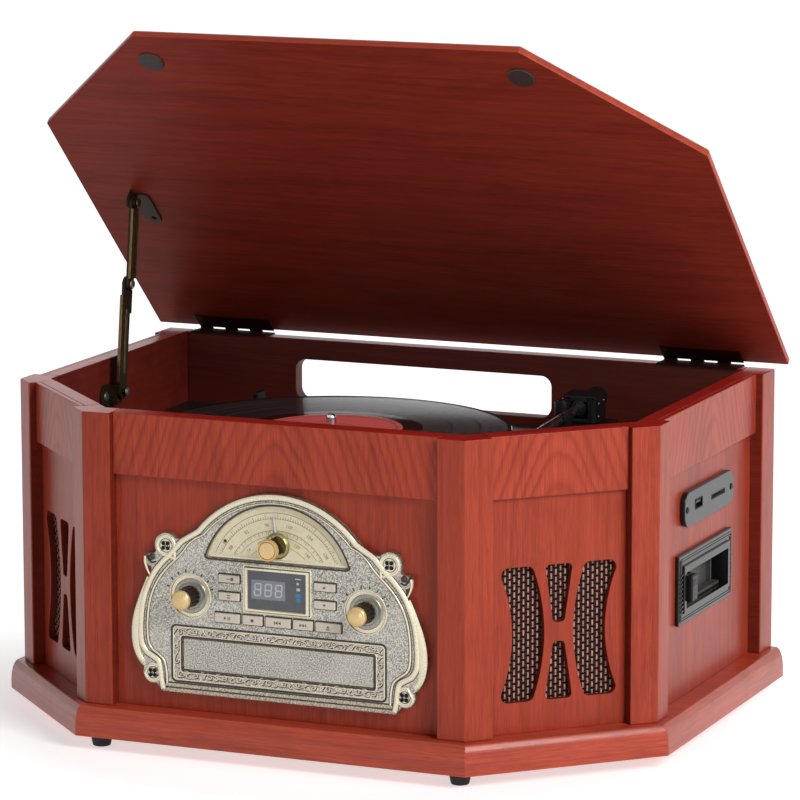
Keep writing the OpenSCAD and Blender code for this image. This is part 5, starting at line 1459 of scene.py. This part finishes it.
class MUSIC_OT_side_fittings(Adding, bpy.types.Operator):
    """Adds the media plate with its two ports, and the tape slot's frame, flap and key"""
    bl_idname = "music.side_fittings"
    bl_label = "Side fittings"

    def add(self, scene):
        softened("media_plate", "cabinet", ["gunmetal", "mechanism"], 0.8, 3, angle=50,
                 chooser=lambda p, n: int(p.x < SIDE_FACE - 0.1))
        shell = [box((229.2, STICK_Y + s * 6.5, STICK_Z), (4.2, 0.4, 6), 0.1) for s in (-1, 1)]
        shell += [box((229.2, STICK_Y, STICK_Z + s * 2.8), (4.2, 13.2, 0.4), 0.1) for s in (-1, 1)]
        added(shell, "slot_black", "port_shell")
        added(box((228.6, STICK_Y, 157.9), (3.6, 10.6, 1.6), 0.2), "port_white", "port_tongue")
        lips = [outlined(rounded_box_line(27.4, 3.8, 1.2, (CARD_Y, CARD_Z), 3), 0.7, 0.3),
                outlined(rounded_box_line(15, 7.6, 0.9, (STICK_Y, STICK_Z), 3), 0.7, 0.3)]
        added(on_side(joined(lips), 231), "gunmetal", "port_lips")
        frame_piece = box((228.5, TAPE_Y, 102), (3, 109, 48), 0.9, 3)
        combined(frame_piece, box((230.2, TAPE_Y, 102), (2.6, 94, 33), 0.7, 3), "UNION")
        combined(frame_piece, box((229, TAPE_Y, TAPE_Z), (12, 86, 25)), "DIFFERENCE")
        added(frame_piece, "gunmetal", "tape_bezel_finished", replaces=["tape_bezel"])
        rounds = [outlined(rounded_box_line(103.5 - inset, 42.5 - inset, 1.4, (TAPE_Y, 101.7), 3), 1.5, 0.6)
                  for inset in (0, 3.4)]
        ribs = [on_side(joined(rounds), 230)]
        ribs += [box((230.5, y, 88 + k * 3.1), (1.4, 3.4, 1.1), 0.35) for y in (-9.2, 91.2) for k in range(9)]
        added(ribs, "gunmetal", "tape_frame_ribs")
        softened("tape_mechanism", "cabinet", "slot_black", 0)
        liner = [box((221.3, TAPE_Y + s * 43.5, TAPE_Z), (11.2, 0.9, 27)) for s in (-1, 1)]
        liner += [box((221.3, TAPE_Y, TAPE_Z + s * 12.95), (11.2, 87.9, 0.9)) for s in (-1, 1)]
        added(liner, "slot_black", "tape_liner")
        flap = [box((218.4, 45, TAPE_Z), (1.4, 58, 24.4), 0.4), box((220, 74.6, TAPE_Z), (4.4, 1.6, 24.4), 0.4),
                box((221, 49, 89.8), (9, 66, 2.2), 0.4)]
        added(flap, "mechanism", "tape_flap")
        softened("tape_key", "tape_key", "key_black", 0.9, 3)
        grip = [box((232.4, 5.5, 101.8), (5.2, 11.6, 18), 1.3, 3)]
        grip += [box((235.0, 5.5, 104 + k * 1.6), (0.6, 7, 0.7), 0.2) for k in range(3)]
        added(grip, "key_black", "tape_key_grip", "tape_key")


# ---- Back, insides and screws ----

# The profile of a sound socket, as (radius, height over the plate)
SOCKET_RING = [(1.7, 0), (5.2, 0), (5.2, 0.8), (4.6, 1.4), (4.1, 1.5), (4.1, 9.2), (1.7, 9.2), (1.7, 0)]


class MUSIC_OT_fixings(Adding, bpy.types.Operator):
    """Adds the socket plate on the back, and the screws of the plates and of the wall bracket"""
    bl_idname = "music.fixings"
    bl_label = "Back and screws"

    def add(self, scene):
        softened("rear_socket_plate", "cabinet", "socket_black", angle=50)
        out = math.pi / 2
        sockets = []
        for u, skin in ((8, "ring_white"), (26, "ring_red")):
            socket = moved(cleaned(turned(SOCKET_RING, steps=32)), (SOCKET_X + u, SOCKET_Y, SOCKET_Z), (-out, 0, 0))
            sockets.append(paint(socket, skin, "screw_steel", chooser=lambda p, n: int(p.y >= 171.2)))
        place(joined(sockets), "sound_sockets", "cabinet")
        pins = [rod((94 + s * 4, 167, SOCKET_Z), (94 + s * 4, 169.3, SOCKET_Z), 1.1, 16, bevel=0.2) for s in (-1, 1)]
        added(pins, "screw_steel", "inlet_pins")
        heads = []
        for x, z in ((-81, 138.6), (81, 138.6), (-91.5, 50.9), (91.5, 50.9)):
            heads += [screw_head((PLATE_X + x, PLATE_FACE - 0.05, z), 3.0, 1.25, (out, 0, 0), skew=x * 3),
                      rod((PLATE_X + x, PLATE_FACE, z), (PLATE_X + x, -159, z), 1.55, 16)]
        for y in (0, 90):
            heads += [screw_head((231, y, CARD_Z), 2.4, 0.8, (0, out, 0), skew=y + 15),
                      rod((SIDE_FACE, y, CARD_Z), (231.2, y, CARD_Z), 1.25, 16)]
        x, *across = BRACKET_SCREW
        heads += [screw_head(BRACKET_SCREW, 3.4, 1.0, (0, out, 0), skew=30),
                  rod((x - 1.6, *across), (x + 0.2, *across), 1.75, 16)]
        heads += [screw_head((SOCKET_X + u, SOCKET_Y, SOCKET_Z), 2.6, 1.0, (-out, 0, 0), skew=u) for u in (-41, 41)]
        screws = paint(joined(heads), "screw_steel", "gunmetal", chooser=lambda p, n: int(p.x > 200))
        place(screws, "screws_finished", "cabinet", ["screws"])


def refinished(node, *materials):
    """Gives a CAD node that keeps its own shape better materials."""
    for slot, material in zip(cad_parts[node].material_slots, materials * 9):
        slot.material = material


class MUSIC_OT_insides(Adding, bpy.types.Operator):
    """Finishes the pieces inside: bottom board, circuit board, transformer and belt"""
    bl_idname = "music.insides"
    bl_label = "Insides"

    def add(self, scene):
        refinished("bottom_board", finish("raw_board"))
        refinished("drive_belt", finish("black_rubber"))
        softened("circuit_board", "cabinet", ["board_green", "plate_zinc"], 0.25, 1,
                 chooser=lambda p, n: 0 if BOARD_Y - 0.05 < p.y < BOARD_Y + 1.7 or abs(p.x - PLATE_X) > 84 else 1)
        softened("power_transformer", "cabinet", ["core_iron", "magnet_wire"], 0.5,
                 chooser=lambda p, n: int(p.z > 66.1))


# ---- Stage ----

# The picture's width and the camera's focal length, both in pixels
PICTURE_WIDTH, FOCAL_LENGTH = 800, 4504.26
# Where the camera stands, in metres, and how far round, above and tilted it looks from, in degrees
CAMERA_PLACE, CAMERA_LOOK = (1.21315, -2.80345, 0.76947), (23.036, 10.204, -0.092)
# Each lamp's place and size, in metres
LAMPS = {"key": ((2.4, -1.3, 1.85), 1.3), "fill": ((0.35, -2.8, 0.16), 0.6)}
AIM = (0, 0, 0.16)


class MUSIC_OT_stage(Adding, bpy.types.Operator):
    """Adds the pale floor, the soft studio light and the camera"""
    bl_idname = "music.stage"
    bl_label = "Stage"

    def add(self, scene):
        stage = scene.music_stage
        deselect()
        bpy.ops.mesh.primitive_plane_add(size=30)
        floor = bpy.context.object
        floor.name = "studio_floor"
        paint(floor, floor_finish(stage.floor))
        for name, (place_at, size) in LAMPS.items():
            bpy.ops.object.light_add(type="AREA", location=place_at)
            lamp = bpy.context.object
            lamp.name = lamp.data.name = "lamp_" + name
            lamp.data.size = size
            lamp.data.energy = getattr(stage, name + "_power")
            lamp.rotation_euler = (Vector(AIM) - lamp.location).to_track_quat("-Z", "Y").to_euler()
        world_finish(scene, stage.ambient)
        bpy.ops.object.camera_add()
        camera = bpy.context.object
        camera.name = "front_right_camera"
        azimuth, elevation, roll = (math.radians(a) for a in CAMERA_LOOK)
        back = Vector((math.sin(azimuth) * math.cos(elevation), -math.cos(azimuth) * math.cos(elevation),
                       math.sin(elevation)))
        camera.location = CAMERA_PLACE
        camera.rotation_mode = "QUATERNION"
        camera.rotation_quaternion = (-back).to_track_quat("-Z", "Y") @ Matrix.Rotation(roll, 3, "Z").to_quaternion()
        camera.data.sensor_width = 36
        camera.data.lens = 36 * FOCAL_LENGTH / PICTURE_WIDTH
        camera.data.clip_start, camera.data.clip_end = 0.1, 60
        scene.camera = camera
        scene.view_settings.view_transform = "Standard"


def floor_finish(colour):
    """Pale floor: seen by the camera and in reflections it is lifted to white where no shadow falls, less round the
    object as painted shade; it also glows onto the object as a painted floor bounce.
    """
    f = Finish("studio_floor", {"Roughness": 0.9, "Specular IOR Level": 0.1})
    p = f.millimetres()
    f.done(f.mix(f.noise(f.scaled(p, (0.01,) * 3), 1), colour, dimmed(colour, 0.985)))
    radius = f.radius(p)
    # Painted shade: the lift is 0.6 within about 240 mm of the middle and full beyond about 380 mm.
    far = f.ramp(f.math("DIVIDE", radius, 2000.0), (0.12, 0.6), (0.19, 1.0))
    rays = f.add("LightPath").outputs
    seen = f.math("MINIMUM", f.math("ADD", f.math("ADD", rays["Is Camera Ray"], rays["Is Glossy Ray"]),
                                    rays["Is Transmission Ray"]), 1.0)
    # Every ray also gets at least 0.45 of it, so the floor lights the object as a painted bounce.
    glow = f.add("Emission", {"Color": (1, 1, 1, 1),
                              "Strength": f.math("MULTIPLY", f.math("MAXIMUM", seen, 0.45), far)})
    both = f.add("AddShader", {0: f.shader.outputs[0], 1: glow.outputs[0]})
    f.link(both.outputs[0], f.tree.nodes["Material Output"].inputs["Surface"])
    return f.material


def world_finish(scene, level):
    """White where the camera, metal or glass sees it, and a softer level as light."""
    world = bpy.data.worlds.new("studio")
    world.use_nodes = True
    scene.world = world
    tree = world.node_tree
    rays = tree.nodes.new("ShaderNodeLightPath").outputs
    seen = rays["Is Camera Ray"]
    for name in ("Is Glossy Ray", "Is Transmission Ray"):
        node = tree.nodes.new("ShaderNodeMath")
        node.operation = "ADD"
        node.use_clamp = True
        tree.links.new(seen, node.inputs[0])
        tree.links.new(rays[name], node.inputs[1])
        seen = node.outputs[0]
    strength = tree.nodes.new("ShaderNodeMapRange")
    strength.inputs["To Min"].default_value = level
    strength.inputs["To Max"].default_value = 1.0
    tree.links.new(seen, strength.inputs["Value"])
    tree.links.new(strength.outputs[0], tree.nodes["Background"].inputs["Strength"])
    tree.nodes["Background"].inputs["Color"].default_value = (1, 1, 1, 1)


# ---- Add-on ----

SETTINGS = {"music_cabinet": CabinetSettings, "music_plate": PlateSettings, "music_speaker": SpeakerSettings,
            "music_deck": DeckSettings, "music_stage": StageSettings}
OPERATORS = [MUSIC_OT_cabinet, MUSIC_OT_lid, MUSIC_OT_hinges, MUSIC_OT_stay, MUSIC_OT_speakers, MUSIC_OT_platter,
             MUSIC_OT_record, MUSIC_OT_tonearm, MUSIC_OT_plate, MUSIC_OT_plate_frames, MUSIC_OT_dial, MUSIC_OT_knobs,
             MUSIC_OT_buttons, MUSIC_OT_display, MUSIC_OT_disc_drawer, MUSIC_OT_side_fittings, MUSIC_OT_fixings,
             MUSIC_OT_insides, MUSIC_OT_stage]


class MUSIC_PT_panel(bpy.types.Panel):
    """Lists the pieces of the music centre and their settings"""
    bl_label = "Music Centre"
    bl_idname = "MUSIC_PT_panel"
    bl_space_type = "VIEW_3D"
    bl_region_type = "UI"
    bl_category = "Music Centre"

    def draw(self, context):
        for name, group in SETTINGS.items():
            block = self.layout.box()
            for setting in group.__annotations__:
                block.prop(getattr(context.scene, name), setting)
        for operator in OPERATORS:
            self.layout.operator(operator.bl_idname)


def register():
    for group in SETTINGS.values():
        bpy.utils.register_class(group)
    for name, group in SETTINGS.items():
        setattr(bpy.types.Scene, name, PointerProperty(type=group))
    for operator in OPERATORS:
        bpy.utils.register_class(operator)
    bpy.utils.register_class(MUSIC_PT_panel)


def unregister():
    bpy.utils.unregister_class(MUSIC_PT_panel)
    for operator in reversed(OPERATORS):
        bpy.utils.unregister_class(operator)
    for name in SETTINGS:
        delattr(bpy.types.Scene, name)
    for group in reversed(list(SETTINGS.values())):
        bpy.utils.unregister_class(group)


def main():
    """Registers the add-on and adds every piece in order."""
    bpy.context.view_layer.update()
    register()
    for operator in OPERATORS:
        group, action = operator.bl_idname.split(".")
        getattr(getattr(bpy.ops, group), action)()


if __name__ == "__main__":
    main()
